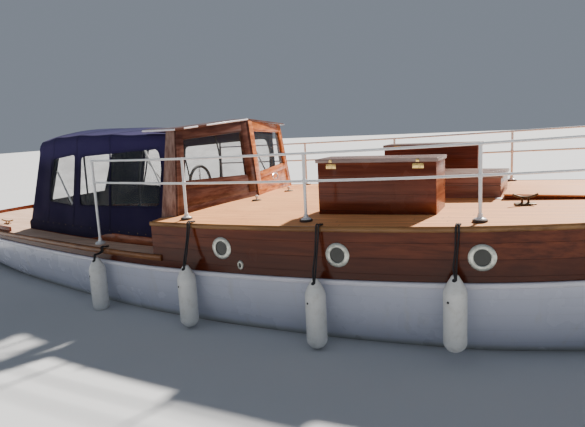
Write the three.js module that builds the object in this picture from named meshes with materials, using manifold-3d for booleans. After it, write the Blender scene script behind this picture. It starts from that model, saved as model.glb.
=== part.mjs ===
// Raised-deck wooden motor cruiser, afloat, about 11 m long.
// Millimetres. X runs forward, Y to port, Z up. The origin is amidships on the waterline.
import * as THREE from "three";
import { mergeVertices } from "three/addons/utils/BufferGeometryUtils.js";
import Module from "manifold-3d";

const wasm = await Module();
wasm.setup();

// Clearances
const SEAT = 0.3; // between two pieces that rest on each other
const STRIP_SEAT = 0.95; // between the curved side and what runs along it
const SINK = 12; // how far a piece is drawn into the deck before the deck trims it

// Hull lines
const STEM_X = 5380;
const TRANSOM_X = -5600;
const BREAK_X = -1035; // aft end of the raised deck
const STEM_HALF = 38;
const KEEL_HALF = 45;
const STATIONS = [
  // x, half breadth at the deck edge, height of the bottom, fullness of the sides, of the floors
  { x: TRANSOM_X, half: 680, bottom: 60, sides: 2.2, floors: 2.6 },
  { x: -4900, half: 815, bottom: -70, sides: 2.2, floors: 2.5 },
  { x: -4190, half: 970, bottom: -200, sides: 2.3, floors: 2.4 },
  { x: -3400, half: 1125, bottom: -320, sides: 2.4, floors: 2.3 },
  { x: -2690, half: 1262, bottom: -410, sides: 2.5, floors: 2.2 },
  { x: -1900, half: 1408, bottom: -475, sides: 2.6, floors: 2.2 },
  { x: -1370, half: 1485, bottom: -500, sides: 2.7, floors: 2.2 },
  { x: BREAK_X, half: 1526, bottom: -510, sides: 2.7, floors: 2.1 },
  { x: -380, half: 1572, bottom: -520, sides: 2.7, floors: 2.1 },
  { x: 400, half: 1590, bottom: -520, sides: 2.6, floors: 2.0 },
  { x: 1100, half: 1580, bottom: -510, sides: 2.5, floors: 1.9 },
  { x: 1600, half: 1550, bottom: -500, sides: 2.4, floors: 1.8 },
  { x: 2100, half: 1497, bottom: -490, sides: 2.3, floors: 1.7 },
  { x: 2630, half: 1394, bottom: -475, sides: 2.1, floors: 1.6 },
  { x: 3100, half: 1265, bottom: -460, sides: 2.0, floors: 1.5 },
  { x: 3600, half: 1083, bottom: -440, sides: 1.8, floors: 1.4 },
  { x: 4100, half: 850, bottom: -415, sides: 1.6, floors: 1.3 },
  { x: 4600, half: 570, bottom: -385, sides: 1.5, floors: 1.2 },
  { x: 5050, half: 285, bottom: -350, sides: 1.4, floors: 1.1 },
  { x: STEM_X, half: STEM_HALF, bottom: -320, sides: 1.4, floors: 1.1 },
];
const FLARE = 0.12; // share of the half breadth lost between deck edge and strake at the bow
const FLARE_FROM = 2000;

// Heights
const RAISED_EDGE = 1060; // raised deck edge at SHEER_X
const SHEER_X = 2070;
const SHEER_RISE = 0.034;
const SHEER_CURVE = 3.4e-6;
const STEP_DOWN = 335; // from the raised sheer line down to the aft deck
const STRAKE_LOW = 553;
const DECK_CAMBER = 53;
const AFT_CAMBER = 30;
const DECK_JOINT_X = 1600; // where the foredeck's two lengths meet
const DECK_THICK = 28;
const STRAKE_TALL = 46;
const STRAKE_OUT = 28;
const MOULDING_TALL = 42;
const AFT_MOULDING_TALL = 60;
const MOULDING_OUT = 20;

// Cockpit
const SOLE_TOP = 230;
const SOLE_THICK = 30;
const COAMING = [
  // x, half width outside the coaming
  [TRANSOM_X, 420],
  [-3820, 782],
  [-3350, 884],
  [-2750, 1014],
  [-2000, 1152],
  [-1290, 1250],
  [STEM_X, 1300],
];
const COAMING_AFT = -3820;
const COAMING_THICK = 24;
const COAMING_TALL = 108;
const DOOR = { half: 280, bottom: 262, top: 925, thick: 24, lap: 14, clear: 8, pinOut: 22, pinIn: 6 };
const COMPANION_DEPTH = 650;
const BENCH = { fore: -1760, aft: -3560, deep: 400, top: 640 };
const ENGINE = { fore: -1640, aft: -2540, half: 290, bottom: -270, top: 150 };

// Windscreen: one half from the centre to its corner, then a wing aft to the break of the deck
const SCREEN_POSTS = {
  // [x, y] at the foot, [x, y] at the top
  apex: { foot: [-680, 0], top: [-780, 0] },
  corner: { foot: [-895, -1290], top: [-955, -1130] },
  wing: { foot: [-1058, -1362], top: [-1058, -1186] },
};
const SCREEN = { foot: 1000, thick: 42, apexTop: 1945, fall: 0.065 };
const VISOR = { thick: 24, half: 1200, frontMid: -758, frontSide: -895, aft: -1335, band: 230, arm: 150 };

// Canopy hoops, from forward to aft
const HOOPS = [
  { foot: -1064, top: -1064, footHalf: 1241, eaveHalf: 1146, eave: 1838, crown: 1858 },
  { foot: -1390, top: -1370, footHalf: 1226, eaveHalf: 1138, eave: 1846, crown: 1874 },
  { foot: -2000, top: -1900, footHalf: 1143, eaveHalf: 1084, eave: 1862, crown: 1900 },
  { foot: -2750, top: -2500, footHalf: 1005, eaveHalf: 984, eave: 1866, crown: 1928 },
  { foot: -3350, top: -3000, footHalf: 876, eaveHalf: 880, eave: 1846, crown: 1938 },
  { foot: -3800, top: -3340, footHalf: 774, eaveHalf: 800, eave: 1795, crown: 1915 },
];
const CANVAS = 12;
const ROOF_GAP_AFT = -1450;
const ROOF_GAP_HALF = 980;

// Guard rails
const RAIL_TALL = 585;
const RAIL_LOW = 345;
const RAIL_R = 11;
const POST_R = 14;
const BASE_R = 58;
const POSTS = [
  // x, distance from the centreline
  [-2035, 1262],
  [-680, 1402],
  [625, 1402],
  [2075, 1350],
  [3350, 1060],
  [4420, 560],
  [5020, 150],
];

// Deck furniture
const BOX = { inner: 767, outer: 1129, wall: 20, lid: 36, lip: 16 };
const BOXES = [
  { name: "starboard", aft: 632, fore: 1700, tall: 470 },
  { name: "port", aft: 680, fore: 1765, tall: 485 },
];
const LOCKER = { aft: 1150, fore: 2120, half: 330, tall: 205, wall: 20, lid: 30, lip: 16 };
const HATCH = { aft: 2160, fore: 3080, half: 440, tall: 6, wall: 40, lid: 14, lip: 14, floor: 700 };
const FENDERS = [
  // x, height of the top eye
  [1941, 705],
  [826, 600],
  [-515, 610],
  [-1822, 560],
];
const FENDER_R = 92;
const FENDER_LONG = 520;

// Stern gear
const SHAFT = { fore: -3900, aft: -4560, z: -420, r: 19, boss: 42 };
const SCREW = { x: -4500, r: 255, hub: 48 };
const RUDDER = { x: -4830, chord: 420, fore: 90, top: -150, bottom: -690, half: 22 };
const KEEL_DEEP = 760;
const HEEL_TALL = 55;

const colours = {
  white: [0xf1f1ee, 0.35, 0],
  antifouling: [0x6e2f26, 0.8, 0],
  varnish: [0x7a3b22, 0.22, 0],
  golden: [0xb07c40, 0.35, 0],
  teak: [0xd9b48a, 0.75, 0],
  canvas: [0x23264a, 0.9, 0],
  clear: [0xcfdadd, 0.1, 0],
  tube: [0xe6e6e6, 0.3, 0.6],
  brass: [0xb08a4a, 0.35, 1],
  iron: [0x4a5550, 0.6, 0.3],
  fender: [0xf4f3ee, 0.45, 0],
  black: [0x1d1d20, 0.6, 0],
};

// Solids from three.js geometry
function solid(geometry) {
  const bare = geometry.index ? geometry.toNonIndexed() : geometry.clone();
  bare.deleteAttribute("normal");
  bare.deleteAttribute("uv");
  const merged = mergeVertices(bare, 1e-3);
  const vertProperties = new Float32Array(merged.attributes.position.array);
  const triVerts = new Uint32Array(merged.index.array);
  const made = new wasm.Manifold(new wasm.Mesh({ numProp: 3, vertProperties, triVerts }));
  if (made.volume() >= 0) return made;
  for (let i = 0; i < triVerts.length; i += 3) {
    [triVerts[i + 1], triVerts[i + 2]] = [triVerts[i + 2], triVerts[i + 1]];
  }
  return new wasm.Manifold(new wasm.Mesh({ numProp: 3, vertProperties, triVerts }));
}

function geometryOf(made) {
  const mesh = made.getMesh();
  const geometry = new THREE.BufferGeometry();
  geometry.setAttribute("position", new THREE.BufferAttribute(new Float32Array(mesh.vertProperties), 3));
  geometry.setIndex(new THREE.BufferAttribute(new Uint32Array(mesh.triVerts), 1));
  return geometry;
}

const join = (...solids) => solids.reduce((a, b) => a.add(b));
const moved = (made, x, y, z) => solid(geometryOf(made).translate(x, y, z));
const mirrored = (made) => solid(geometryOf(made).scale(1, -1, 1));

function box(x0, x1, y0, y1, z0, z1) {
  const geometry = new THREE.BoxGeometry(x1 - x0, y1 - y0, z1 - z0);
  return solid(geometry.translate((x0 + x1) / 2, (y0 + y1) / 2, (z0 + z1) / 2));
}

// A body through a row of rings from aft to forward, each a closed loop of as many [x, y, z] points
function loft(given) {
  const flat = (ring) => ring.map(([, y, z]) => new THREE.Vector2(y, z));
  const clockwise = THREE.ShapeUtils.isClockWise(flat(given[0]));
  const rings = clockwise ? given.map((ring) => [...ring].reverse()) : given;
  const count = rings[0].length;
  const positions = rings.flat(2);
  const index = [];
  for (let k = 0; k + 1 < rings.length; k++) {
    for (let i = 0; i < count; i++) {
      const a = k * count + i;
      const b = k * count + ((i + 1) % count);
      index.push(a, a + count, b, b, a + count, b + count);
    }
  }
  const lastStart = (rings.length - 1) * count;
  for (const [a, b, c] of THREE.ShapeUtils.triangulateShape(flat(rings[0]), [])) index.push(a, b, c);
  for (const [a, b, c] of THREE.ShapeUtils.triangulateShape(flat(rings.at(-1)), [])) {
    index.push(lastStart + a, lastStart + c, lastStart + b);
  }
  const geometry = new THREE.BufferGeometry();
  geometry.setAttribute("position", new THREE.Float32BufferAttribute(positions, 3));
  geometry.setIndex(index);
  return solid(geometry);
}

// A flat outline of [x, z] points, as thick as 2 half across the boat
function sidePlate(outline, half, y = 0) {
  const shape = new THREE.Shape(outline.map(([x, z]) => new THREE.Vector2(x, z)));
  const geometry = new THREE.ExtrudeGeometry(shape, { depth: 2 * half, bevelEnabled: false });
  return solid(geometry.rotateX(Math.PI / 2).translate(0, y + half, 0));
}

// A flat outline of [x, y] points between two heights
function planPlate(outline, z0, z1) {
  const shape = new THREE.Shape(outline.map(([x, y]) => new THREE.Vector2(x, y)));
  return solid(new THREE.ExtrudeGeometry(shape, { depth: z1 - z0, bevelEnabled: false }).translate(0, 0, z0));
}

function tube(points, radius, sides = 8, steps = points.length * 4) {
  const curve = new THREE.CatmullRomCurve3(points.map((p) => new THREE.Vector3(...p)), false, "centripetal");
  return sweep(curve, radius, sides, steps);
}

function rod(from, to, radius, sides = 10) {
  const curve = new THREE.LineCurve3(new THREE.Vector3(...from), new THREE.Vector3(...to));
  return sweep(curve, radius, sides, 1);
}

function sweep(curve, radius, sides, steps) {
  const ring = new THREE.Shape();
  for (let i = 0; i < sides; i++) {
    const angle = ((i + 0.5) / sides) * 2 * Math.PI;
    ring[i ? "lineTo" : "moveTo"](radius * Math.cos(angle), radius * Math.sin(angle));
  }
  return solid(new THREE.ExtrudeGeometry(ring, { steps, bevelEnabled: false, extrudePath: curve }));
}

// A turned body about a vertical axis, from [radius, z] points
function turned(profile, x, y, sides = 16) {
  const points = profile.map(([r, z]) => new THREE.Vector2(r, z));
  const geometry = new THREE.LatheGeometry(points, sides).rotateX(Math.PI / 2);
  return solid(geometry.translate(x, y, 0));
}

// Hull lines as functions of the station
const clamp01 = (t) => Math.min(1, Math.max(0, t));
const smooth = (t) => clamp01(t) ** 2 * (3 - 2 * clamp01(t));

function read(rows, x) {
  let k = 0;
  while (k < rows.length - 2 && x > rows[k + 1][0]) k++;
  const [x0, v0] = rows[k];
  const [x1, v1] = rows[k + 1];
  return v0 + ((v1 - v0) * (x - x0)) / (x1 - x0);
}

const column = (name) => STATIONS.map((row) => [row.x, row[name]]);
const columns = Object.fromEntries(["half", "bottom", "sides", "floors"].map((name) => [name, column(name)]));
const deckHalf = (x) => read(columns.half, x);
const strakeHalf = (x) => Math.max(STEM_HALF, deckHalf(x) * (1 - FLARE * smooth((x - FLARE_FROM) / 2600)));
const raisedEdge = (x) => RAISED_EDGE + SHEER_RISE * (x - SHEER_X) + SHEER_CURVE * (x - SHEER_X) ** 2;
const aftEdge = (x) => raisedEdge(x) - STEP_DOWN;
const strakeTop = (x) => STRAKE_LOW + 0.0255 * x + 4.6e-6 * x ** 2 + 3e-6 * Math.min(0, x + 2500) ** 2;
const hullTop = (x) => strakeTop(x) - STRAKE_TALL / 2;
const coamingHalf = (x) => read(COAMING, x);

// The stem's rake and the rounding of its foot, as a shift aft that grows towards the stem
function stemShift(x, z) {
  const depth = Math.max(0, (1210 - z) / 1700);
  return smooth((x - 3000) / (STEM_X - 3000)) * (83 * depth + 867 * depth ** 6);
}

function halfAt(x, z) {
  const top = hullTop(x);
  if (z >= top) {
    const share = (z - top) / (raisedEdge(x) - top);
    return strakeHalf(x) + (deckHalf(x) - strakeHalf(x)) * share;
  }
  const depth = clamp01((top - z) / (top - read(columns.bottom, x)));
  const share = (1 - depth ** read(columns.sides, x)) ** (1 / read(columns.floors, x));
  return KEEL_HALF + Math.max(0, strakeHalf(x) - KEEL_HALF) * share;
}

// A point on the boat's side, moved out by so much
const side = (x, z, out = 0) => [x - stemShift(x, z), halfAt(x, z) + out, z];

function stationsFrom(from, to) {
  const inner = STATIONS.map((row) => row.x).filter((x) => x > from + 1 && x < to - 1);
  return [from, ...inner, to];
}

const opposite = (points) => points.map(([x, y, z]) => [x, -y, z]);

function hullRing(x) {
  const bottom = read(columns.bottom, x);
  const top = hullTop(x);
  const steps = 7;
  const points = [];
  for (let i = 0; i <= steps; i++) {
    const angle = (i / steps) * (Math.PI / 2);
    const depth = Math.sin(angle) ** (2 / read(columns.sides, x));
    const wide = Math.cos(angle) ** (2 / read(columns.floors, x));
    const z = top - depth * (top - bottom);
    const narrow = Math.min(KEEL_HALF, strakeHalf(x));
    points.push([x - stemShift(x, z), narrow + (strakeHalf(x) - narrow) * wide, z]);
  }
  return [...opposite(points), ...points.reverse()];
}

// A band across the whole boat between two heights, its top curved by the camber
function deckRing(x, low, high, camber, mouldingTall = MOULDING_TALL) {
  const across = [1, 0.75, 0.5, 0.25, 0, -0.25, -0.5, -0.75, -1];
  const arc = (z) => {
    const [edgeX, edgeY] = side(x, z);
    return across.map((t) => [edgeX, edgeY * t, z + camber * (1 - t * t)]);
  };
  if (low.curved) return [...arc(high), ...arc(low.z).reverse()];
  const flank = [low.z, strakeTop(x), high - mouldingTall + DECK_THICK].map((z) => side(x, z));
  return [...arc(high), ...opposite(flank).reverse(), ...flank];
}

const raisedCamber = (x) => (DECK_CAMBER * deckHalf(x)) / 1590;
const aftCamber = (x) => (AFT_CAMBER * deckHalf(x)) / 1500;

// A strip along the starboard side, standing out from it
function sideStrip(from, to, lowOf, highOf, out) {
  return loft(
    stationsFrom(from, to).map((x) => {
      const back = side(x, highOf(x), STRIP_SEAT);
      return opposite([
        [back[0], back[1], lowOf(x)],
        side(x, lowOf(x), out),
        side(x, highOf(x), out),
        back,
      ]);
    }),
  );
}

// Cockpit well outline, drawn in from the coaming's outside by so much
function wellOutline(inset, aft, fore) {
  const xs = [aft, ...COAMING.map(([x]) => x).filter((x) => x > aft + 1 && x < fore - 1), fore];
  const half = (x) => coamingHalf(x) - inset;
  return [...xs.map((x) => [x, -half(x)]), ...xs.reverse().map((x) => [x, half(x)])];
}

// Hull, topsides and decks
const PAST = 20; // how far a cut runs past the face that it opens
const COMPANION_FORE = BREAK_X + COMPANION_DEPTH;
const COMPANION_HALF = DOOR.half + 10;
const companionCut = box(BREAK_X - PAST, COMPANION_FORE, -COMPANION_HALF, COMPANION_HALF, SOLE_TOP, 950);
const wellInset = COAMING_THICK;
const wellAft = COAMING_AFT + COAMING_THICK;
const WELL_FLOOR = SOLE_TOP - SOLE_THICK - SEAT;
const wellCut = planPlate(wellOutline(wellInset, wellAft, BREAK_X + PAST), WELL_FLOOR, 1300);
const hatchWell = box(
  HATCH.aft + HATCH.wall,
  HATCH.fore - HATCH.wall,
  -HATCH.half + HATCH.wall,
  HATCH.half - HATCH.wall,
  HATCH.floor,
  1300,
);
const BAY = { aft: ENGINE.aft - 120, fore: ENGINE.fore + 120, half: ENGINE.half + 130 };
const engineBay = box(BAY.aft, BAY.fore, -BAY.half, BAY.half, ENGINE.bottom - SEAT, 260);
const stockHole = rod([RUDDER.x, 0, -400], [RUDDER.x, 0, 300], 26, 16);

// A solid's share between two stations
const between = (made, from, to) => made.intersect(box(from, to, -2000, 2000, -1000, 3000));

// The hull in three lengths, as the cockpit and the companionway divide it
const wholeHull = loft(stationsFrom(TRANSOM_X, STEM_X).map(hullRing));
const HULL_LENGTHS = [
  { name: "aft", from: TRANSOM_X, to: BREAK_X - SEAT, cuts: [wellCut, engineBay, stockHole] },
  { name: "mid", from: BREAK_X, to: COMPANION_FORE - SEAT, cuts: [companionCut] },
  { name: "fore", from: COMPANION_FORE, to: STEM_X, cuts: [] },
];
const cutBy = (made, cuts) => cuts.reduce((left, cut) => left.subtract(cut), made);

const wholeForedeck = loft(
  stationsFrom(BREAK_X, STEM_X).map((x) =>
    deckRing(x, { z: raisedEdge(x) - DECK_THICK, curved: true }, raisedEdge(x), raisedCamber(x)),
  ),
).subtract(hatchWell);
const FOREDECK_LENGTHS = [
  { name: "aft", from: BREAK_X, to: DECK_JOINT_X - SEAT },
  { name: "fore", from: DECK_JOINT_X, to: STEM_X },
];
const raisedTopsides = loft(
  stationsFrom(BREAK_X, STEM_X).map((x) =>
    deckRing(x, { z: hullTop(x) + SEAT }, raisedEdge(x) - DECK_THICK - SEAT, raisedCamber(x)),
  ),
)
  .subtract(companionCut)
  .subtract(hatchWell);

const aftEnd = BREAK_X - SEAT;
const aftDeck = loft(
  stationsFrom(TRANSOM_X, aftEnd).map((x) =>
    deckRing(x, { z: aftEdge(x) - DECK_THICK, curved: true }, aftEdge(x), aftCamber(x)),
  ),
).subtract(wellCut);
const aftTopsides = loft(
  stationsFrom(TRANSOM_X, aftEnd).map((x) =>
    deckRing(x, { z: hullTop(x) + SEAT }, aftEdge(x) - DECK_THICK - SEAT, aftCamber(x), AFT_MOULDING_TALL),
  ),
).subtract(wellCut);

// What stands on a deck is trimmed by all that lies below the deck's top
const foredeckTrim = loft(
  stationsFrom(BREAK_X, STEM_X).map((x) => deckRing(x, { z: 400 }, raisedEdge(x) + SEAT, raisedCamber(x))),
);
const aftDeckTrim = loft(
  stationsFrom(TRANSOM_X, aftEnd).map((x) => deckRing(x, { z: 400 }, aftEdge(x) + SEAT, aftCamber(x))),
);
const onForedeck = (made) => made.subtract(foredeckTrim);
const onAftDeck = (made) => made.subtract(aftDeckTrim);
const foredeckTop = (x, y) => raisedEdge(x) + raisedCamber(x) * (1 - (y / deckHalf(x)) ** 2);
const aftDeckTop = (x, y) => aftEdge(x) + aftCamber(x) * (1 - (y / deckHalf(x)) ** 2);

// Keel, forefoot and stem in one profile
function keelProfile() {
  const heel = RUDDER.x - 60;
  const run = STATIONS.filter((row) => row.x >= -4190 && row.x <= STEM_X);
  const upper = run.map((row) => [row.x - stemShift(row.x, row.bottom), row.bottom - SEAT]);
  const hullZs = hullRing(STEM_X).map(([, , z]) => z).slice(-8, -1);
  const head = raisedEdge(STEM_X);
  const stemZs = [...hullZs, hullTop(STEM_X), head - DECK_THICK, head + 30];
  const shiftOf = (z) => (z < head - DECK_THICK ? stemShift(STEM_X, z) : 0);
  const inner = stemZs.map((z) => [STEM_X - shiftOf(z) + STRIP_SEAT, z]);
  const outer = [...stemZs].reverse().map((z) => [STEM_X - shiftOf(z) + 62, z]);
  return [
    [heel, -KEEL_DEEP],
    [heel, -KEEL_DEEP + HEEL_TALL],
    [-4330, -KEEL_DEEP + HEEL_TALL],
    [-4250, -KEEL_DEEP + 75],
    [-4190, SHAFT.z - 90],
    [-4190, read(columns.bottom, -4190) - SEAT],
    ...upper.slice(1),
    ...inner,
    ...outer,
    [4910, -375],
    [4485, -462],
    [3900, -545],
    [2500, -650],
    [0, -725],
    [-2500, -KEEL_DEEP],
  ];
}
const shaftHole = rod([-4700, 0, SHAFT.z], [SHAFT.fore + SEAT, 0, SHAFT.z], SHAFT.r + 0.9, 16);
const sternBoss = rod([-4262, 0, SHAFT.z], [-4180, 0, SHAFT.z], SHAFT.boss, 16);
const SCARF_X = 2500;
const backbone = join(sidePlate(keelProfile(), STEM_HALF - 2), sternBoss).subtract(shaftHole);
const keel = between(backbone, TRANSOM_X, SCARF_X - SEAT);
const stem = between(backbone, SCARF_X, 6000);

// Strakes and mouldings
const strake = sideStrip(TRANSOM_X, STEM_X, (x) => strakeTop(x) - STRAKE_TALL, strakeTop, STRAKE_OUT);
const PROUD = 4; // of a moulding above the deck's edge
const gunwale = sideStrip(
  BREAK_X,
  STEM_X,
  (x) => raisedEdge(x) - MOULDING_TALL,
  (x) => raisedEdge(x) + PROUD,
  MOULDING_OUT,
);
const aftMouldingSide = sideStrip(
  TRANSOM_X,
  BREAK_X + 110,
  (x) => aftEdge(x) - AFT_MOULDING_TALL,
  (x) => aftEdge(x) + PROUD,
  MOULDING_OUT,
);
const transomMoulding = box(
  TRANSOM_X - MOULDING_OUT,
  TRANSOM_X - SEAT,
  -deckHalf(TRANSOM_X) - MOULDING_OUT,
  deckHalf(TRANSOM_X) + MOULDING_OUT,
  aftEdge(TRANSOM_X) - AFT_MOULDING_TALL,
  aftEdge(TRANSOM_X) + PROUD,
);
const cornerIn = deckHalf(TRANSOM_X) + 5;
const mouldingCorner = box(TRANSOM_X - 5, TRANSOM_X + 20, cornerIn, cornerIn + 13, 625, 665);
const aftMoulding = join(
  aftMouldingSide,
  mirrored(aftMouldingSide),
  transomMoulding,
  mouldingCorner,
  mirrored(mouldingCorner),
);

// Toe rail round the stern
const TOE = { fore: -3950, tall: 62, thick: 26, inset: 14 };
function toeRing(x) {
  const y = deckHalf(x) - TOE.inset;
  const z = aftEdge(x);
  return [
    [x, y - TOE.thick, z - SINK],
    [x, y, z - SINK],
    [x, y, z + TOE.tall],
    [x, y - TOE.thick, z + TOE.tall],
  ];
}
const toeSide = loft(stationsFrom(TRANSOM_X + TOE.inset, TOE.fore).map(toeRing));
const toeAft = box(
  TRANSOM_X + TOE.inset,
  TRANSOM_X + TOE.inset + TOE.thick,
  -deckHalf(TRANSOM_X) + TOE.inset + 5,
  deckHalf(TRANSOM_X) - TOE.inset - 5,
  aftEdge(TRANSOM_X) - SINK,
  aftEdge(TRANSOM_X) + TOE.tall,
);
const toeRail = onAftDeck(join(toeSide, mirrored(toeSide), toeAft));

// Coaming round the cockpit, open where the raised deck closes it
const COAMING_TOP = aftEdge(COAMING_AFT) + COAMING_TALL;
const COAMING_FOOT = aftEdge(COAMING_AFT) + 8;
const coamingOuter = planPlate(wellOutline(0, COAMING_AFT, BREAK_X - SEAT), COAMING_FOOT, COAMING_TOP);
const coaming = onAftDeck(coamingOuter.subtract(wellCut));

// Cockpit sole, bulkhead, door and engine
const soleOutline = wellOutline(wellInset + SEAT, wellAft + SEAT, BREAK_X - 2 * SEAT);
const sole = planPlate(soleOutline, SOLE_TOP - SOLE_THICK, SOLE_TOP);
const engine = join(
  box(ENGINE.aft, ENGINE.fore, -ENGINE.half, ENGINE.half, ENGINE.bottom, 40),
  box(ENGINE.aft + 120, ENGINE.fore - 60, -170, 170, 39, ENGINE.top),
);
const BULKHEAD_THICK = 26;
const bulkheadHalf = coamingHalf(BREAK_X) - wellInset - 12;
const DOOR_X = BREAK_X - BULKHEAD_THICK - DOOR.clear;
const PIN_X = DOOR_X - DOOR.pinIn;
const PIN_Y = DOOR.half + DOOR.pinOut;
const PIN_HALF = 35;
const HINGE_HEIGHTS = [DOOR.bottom + 110, DOOR.top - 110];
const hingeLug = (low, high) => box(PIN_X - 6, BREAK_X - BULKHEAD_THICK + 1, PIN_Y - 5, PIN_Y + 8, low, high);
const bulkhead = join(
  box(BREAK_X - BULKHEAD_THICK, BREAK_X - SEAT, -bulkheadHalf, bulkheadHalf, SOLE_TOP + SEAT, 985).subtract(
    box(BREAK_X - 50, BREAK_X + 50, -DOOR.half, DOOR.half, DOOR.bottom, DOOR.top),
  ),
  ...HINGE_HEIGHTS.flatMap((z) => [
    hingeLug(z - PIN_HALF - 16, z - PIN_HALF - SEAT),
    hingeLug(z + PIN_HALF + SEAT, z + PIN_HALF + 16),
  ]),
);
const door = join(
  box(
    DOOR_X - DOOR.thick,
    DOOR_X,
    -DOOR.half - DOOR.lap,
    DOOR.half + DOOR.lap,
    DOOR.bottom - DOOR.lap,
    DOOR.top + DOOR.lap,
  ),
  ...HINGE_HEIGHTS.flatMap((z) => [
    rod([PIN_X, PIN_Y, z - PIN_HALF], [PIN_X, PIN_Y, z + PIN_HALF], 6, 8),
    box(PIN_X - 6, PIN_X + 4, DOOR.half, PIN_Y, z - 30, z + 30),
  ]),
);

// Helm
const DASH = { aft: -1130, inner: -330, outer: -930, low: 960, top: 1290 };
const WHEEL = { x: -1180, y: -457, z: 1246, r: 198, rim: 17, hubHalf: 17 };
const dash = join(
  box(DASH.aft, BREAK_X - SEAT - BULKHEAD_THICK, DASH.outer, DASH.inner, DASH.low, DASH.top),
  box(DASH.aft, BREAK_X + 8, DASH.outer, DASH.inner, 1045, DASH.top),
  rod([DASH.aft + 10, WHEEL.y, WHEEL.z], [WHEEL.x + WHEEL.hubHalf + SEAT, WHEEL.y, WHEEL.z], 34, 16),
);
function wheelSolid() {
  const rim = solid(new THREE.TorusGeometry(WHEEL.r, WHEEL.rim, 8, 28).rotateY(Math.PI / 2));
  const hub = solid(new THREE.CylinderGeometry(38, 38, 2 * WHEEL.hubHalf, 16).rotateZ(Math.PI / 2));
  const spokes = [0, 1, 2].map((i) => {
    const spoke = new THREE.BoxGeometry(10, 24, WHEEL.r - 4).translate(0, 0, (WHEEL.r - 4) / 2);
    return solid(spoke.rotateX((i * 2 * Math.PI) / 3));
  });
  return moved(join(rim, hub, ...spokes), WHEEL.x, WHEEL.y, WHEEL.z);
}
const wheel = wheelSolid();

// Cockpit benches: a boxed seat under each side deck
function bench() {
  const outer = (x) => coamingHalf(x) - wellInset - 6;
  const outline = [
    [BENCH.aft, -outer(BENCH.aft)],
    [-2750, -outer(-2750)],
    [BENCH.fore, -outer(BENCH.fore)],
    [BENCH.fore, -outer(BENCH.fore) + BENCH.deep],
    [BENCH.aft, -outer(BENCH.aft) + BENCH.deep - 60],
  ];
  return planPlate(outline, SOLE_TOP + SEAT, BENCH.top);
}
const benchStarboard = bench();

// Windscreen halves
const screenTop = (y) => SCREEN.apexTop - SCREEN.fall * Math.abs(y);

// A point on a post's line at a height, or at the screen's top plus a rise
function onPost({ foot, top }, z) {
  const share = (z - SCREEN.foot) / (screenTop(top[1]) - SCREEN.foot);
  return [foot[0] + (top[0] - foot[0]) * share, foot[1] + (top[1] - foot[1]) * share, z];
}

// A board through four corners, as thick as given about their plane
function slab(corners, thick) {
  const [a, b, c, d] = corners.map((corner) => new THREE.Vector3(...corner));
  const out = new THREE.Vector3().crossVectors(c.sub(a), d.sub(b)).setLength(thick / 2);
  const shifted = (by) => corners.map(([x, y, z]) => [x + by * out.x, y + by * out.y, z + by * out.z]);
  return loft([shifted(-1), shifted(1)]);
}

// A board's corners between two posts, from the deck up past the screen's top
function boardBetween(near, far) {
  const lows = [near, far].map(({ foot }) => foredeckTop(foot[0], foot[1]) - SINK);
  const highs = [near, far].map(({ top }) => screenTop(top[1]) + SINK);
  return [onPost(near, lows[0]), onPost(far, lows[1]), onPost(far, highs[1]), onPost(near, highs[0])];
}

// A post moved away from another one by a share of the way between them
function stretched(post, from, share) {
  const away = (end) => post[end].map((value, axis) => value + share * (value - from[end][axis]));
  return { foot: away("foot"), top: away("top") };
}
const { apex, corner, wing } = SCREEN_POSTS;
const LAPS = { apex: 0.015, corner: 0.009, wing: 0.07 }; // shares by which boards run past their meeting
const halfBoard = boardBetween(stretched(apex, corner, LAPS.apex), stretched(corner, apex, LAPS.corner));
const wingBoard = boardBetween(stretched(corner, wing, LAPS.wing), wing);

// The glass, in shares of the way from the apex to the corner and heights there
const PANE = {
  inner: { share: 0.115, low: 1300, top: 1828 },
  outer: { share: 0.925, low: 1335, top: 1785 },
  thick: 6,
  hold: 0.5,
};
function paneCorners(inset) {
  const at = ({ share }, z, drift) => {
    const from = onPost(apex, z);
    const to = onPost(corner, z);
    const along = share - drift / corner.foot[1];
    return [from[0] + (to[0] - from[0]) * along, from[1] + (to[1] - from[1]) * along, z];
  };
  return [
    at(PANE.inner, PANE.inner.low + inset, inset),
    at(PANE.outer, PANE.outer.low + inset, -inset),
    at(PANE.outer, PANE.outer.top - inset, -inset),
    at(PANE.inner, PANE.inner.top - inset, inset),
  ];
}
const portSide = box(-1500, 0, -SEAT / 2, 500, 900, 2100);
const abaftDeck = box(-2000, BREAK_X + 1, -2000, 0, 0, 2500);
const screenRough = onForedeck(
  join(slab(halfBoard, SCREEN.thick).subtract(portSide), slab(wingBoard, SCREEN.thick)),
)
  .subtract(slab(paneCorners(0), 4 * SCREEN.thick))
  .subtract(abaftDeck);
const screenGlass = slab(paneCorners(PANE.hold), PANE.thick);

// Visor along the windscreen's top, with an arm aft at each side that meets the canopy
function bentPlate(outline, lift, thick) {
  const made = geometryOf(planPlate(outline, 0, 1));
  const position = made.getAttribute("position");
  for (let i = 0; i < position.count; i++) {
    position.setZ(i, screenTop(position.getY(i)) + lift + position.getZ(i) * thick);
  }
  return solid(made);
}

const screenTrim = bentPlate([[-1500, -1500], [-500, -1500], [-500, 0], [-1500, 0]], 0, 200);
const screenStarboard = screenRough.subtract(screenTrim);

function visorSolid() {
  const { frontMid, frontSide, aft, band, arm, thick } = VISOR;
  const armInner = arm - VISOR.half;
  const bandAft = (y) => frontMid + ((frontSide - frontMid) * y) / -VISOR.half - band;
  const half = [
    [frontMid, 0],
    [bandAft(0), 0],
    [bandAft(armInner), armInner],
    [aft, armInner],
    [aft, -VISOR.half],
    [frontSide, -VISOR.half],
  ];
  const panel = bentPlate(half, SEAT, thick);
  return join(panel, mirrored(panel));
}
const visor = visorSolid();

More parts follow.
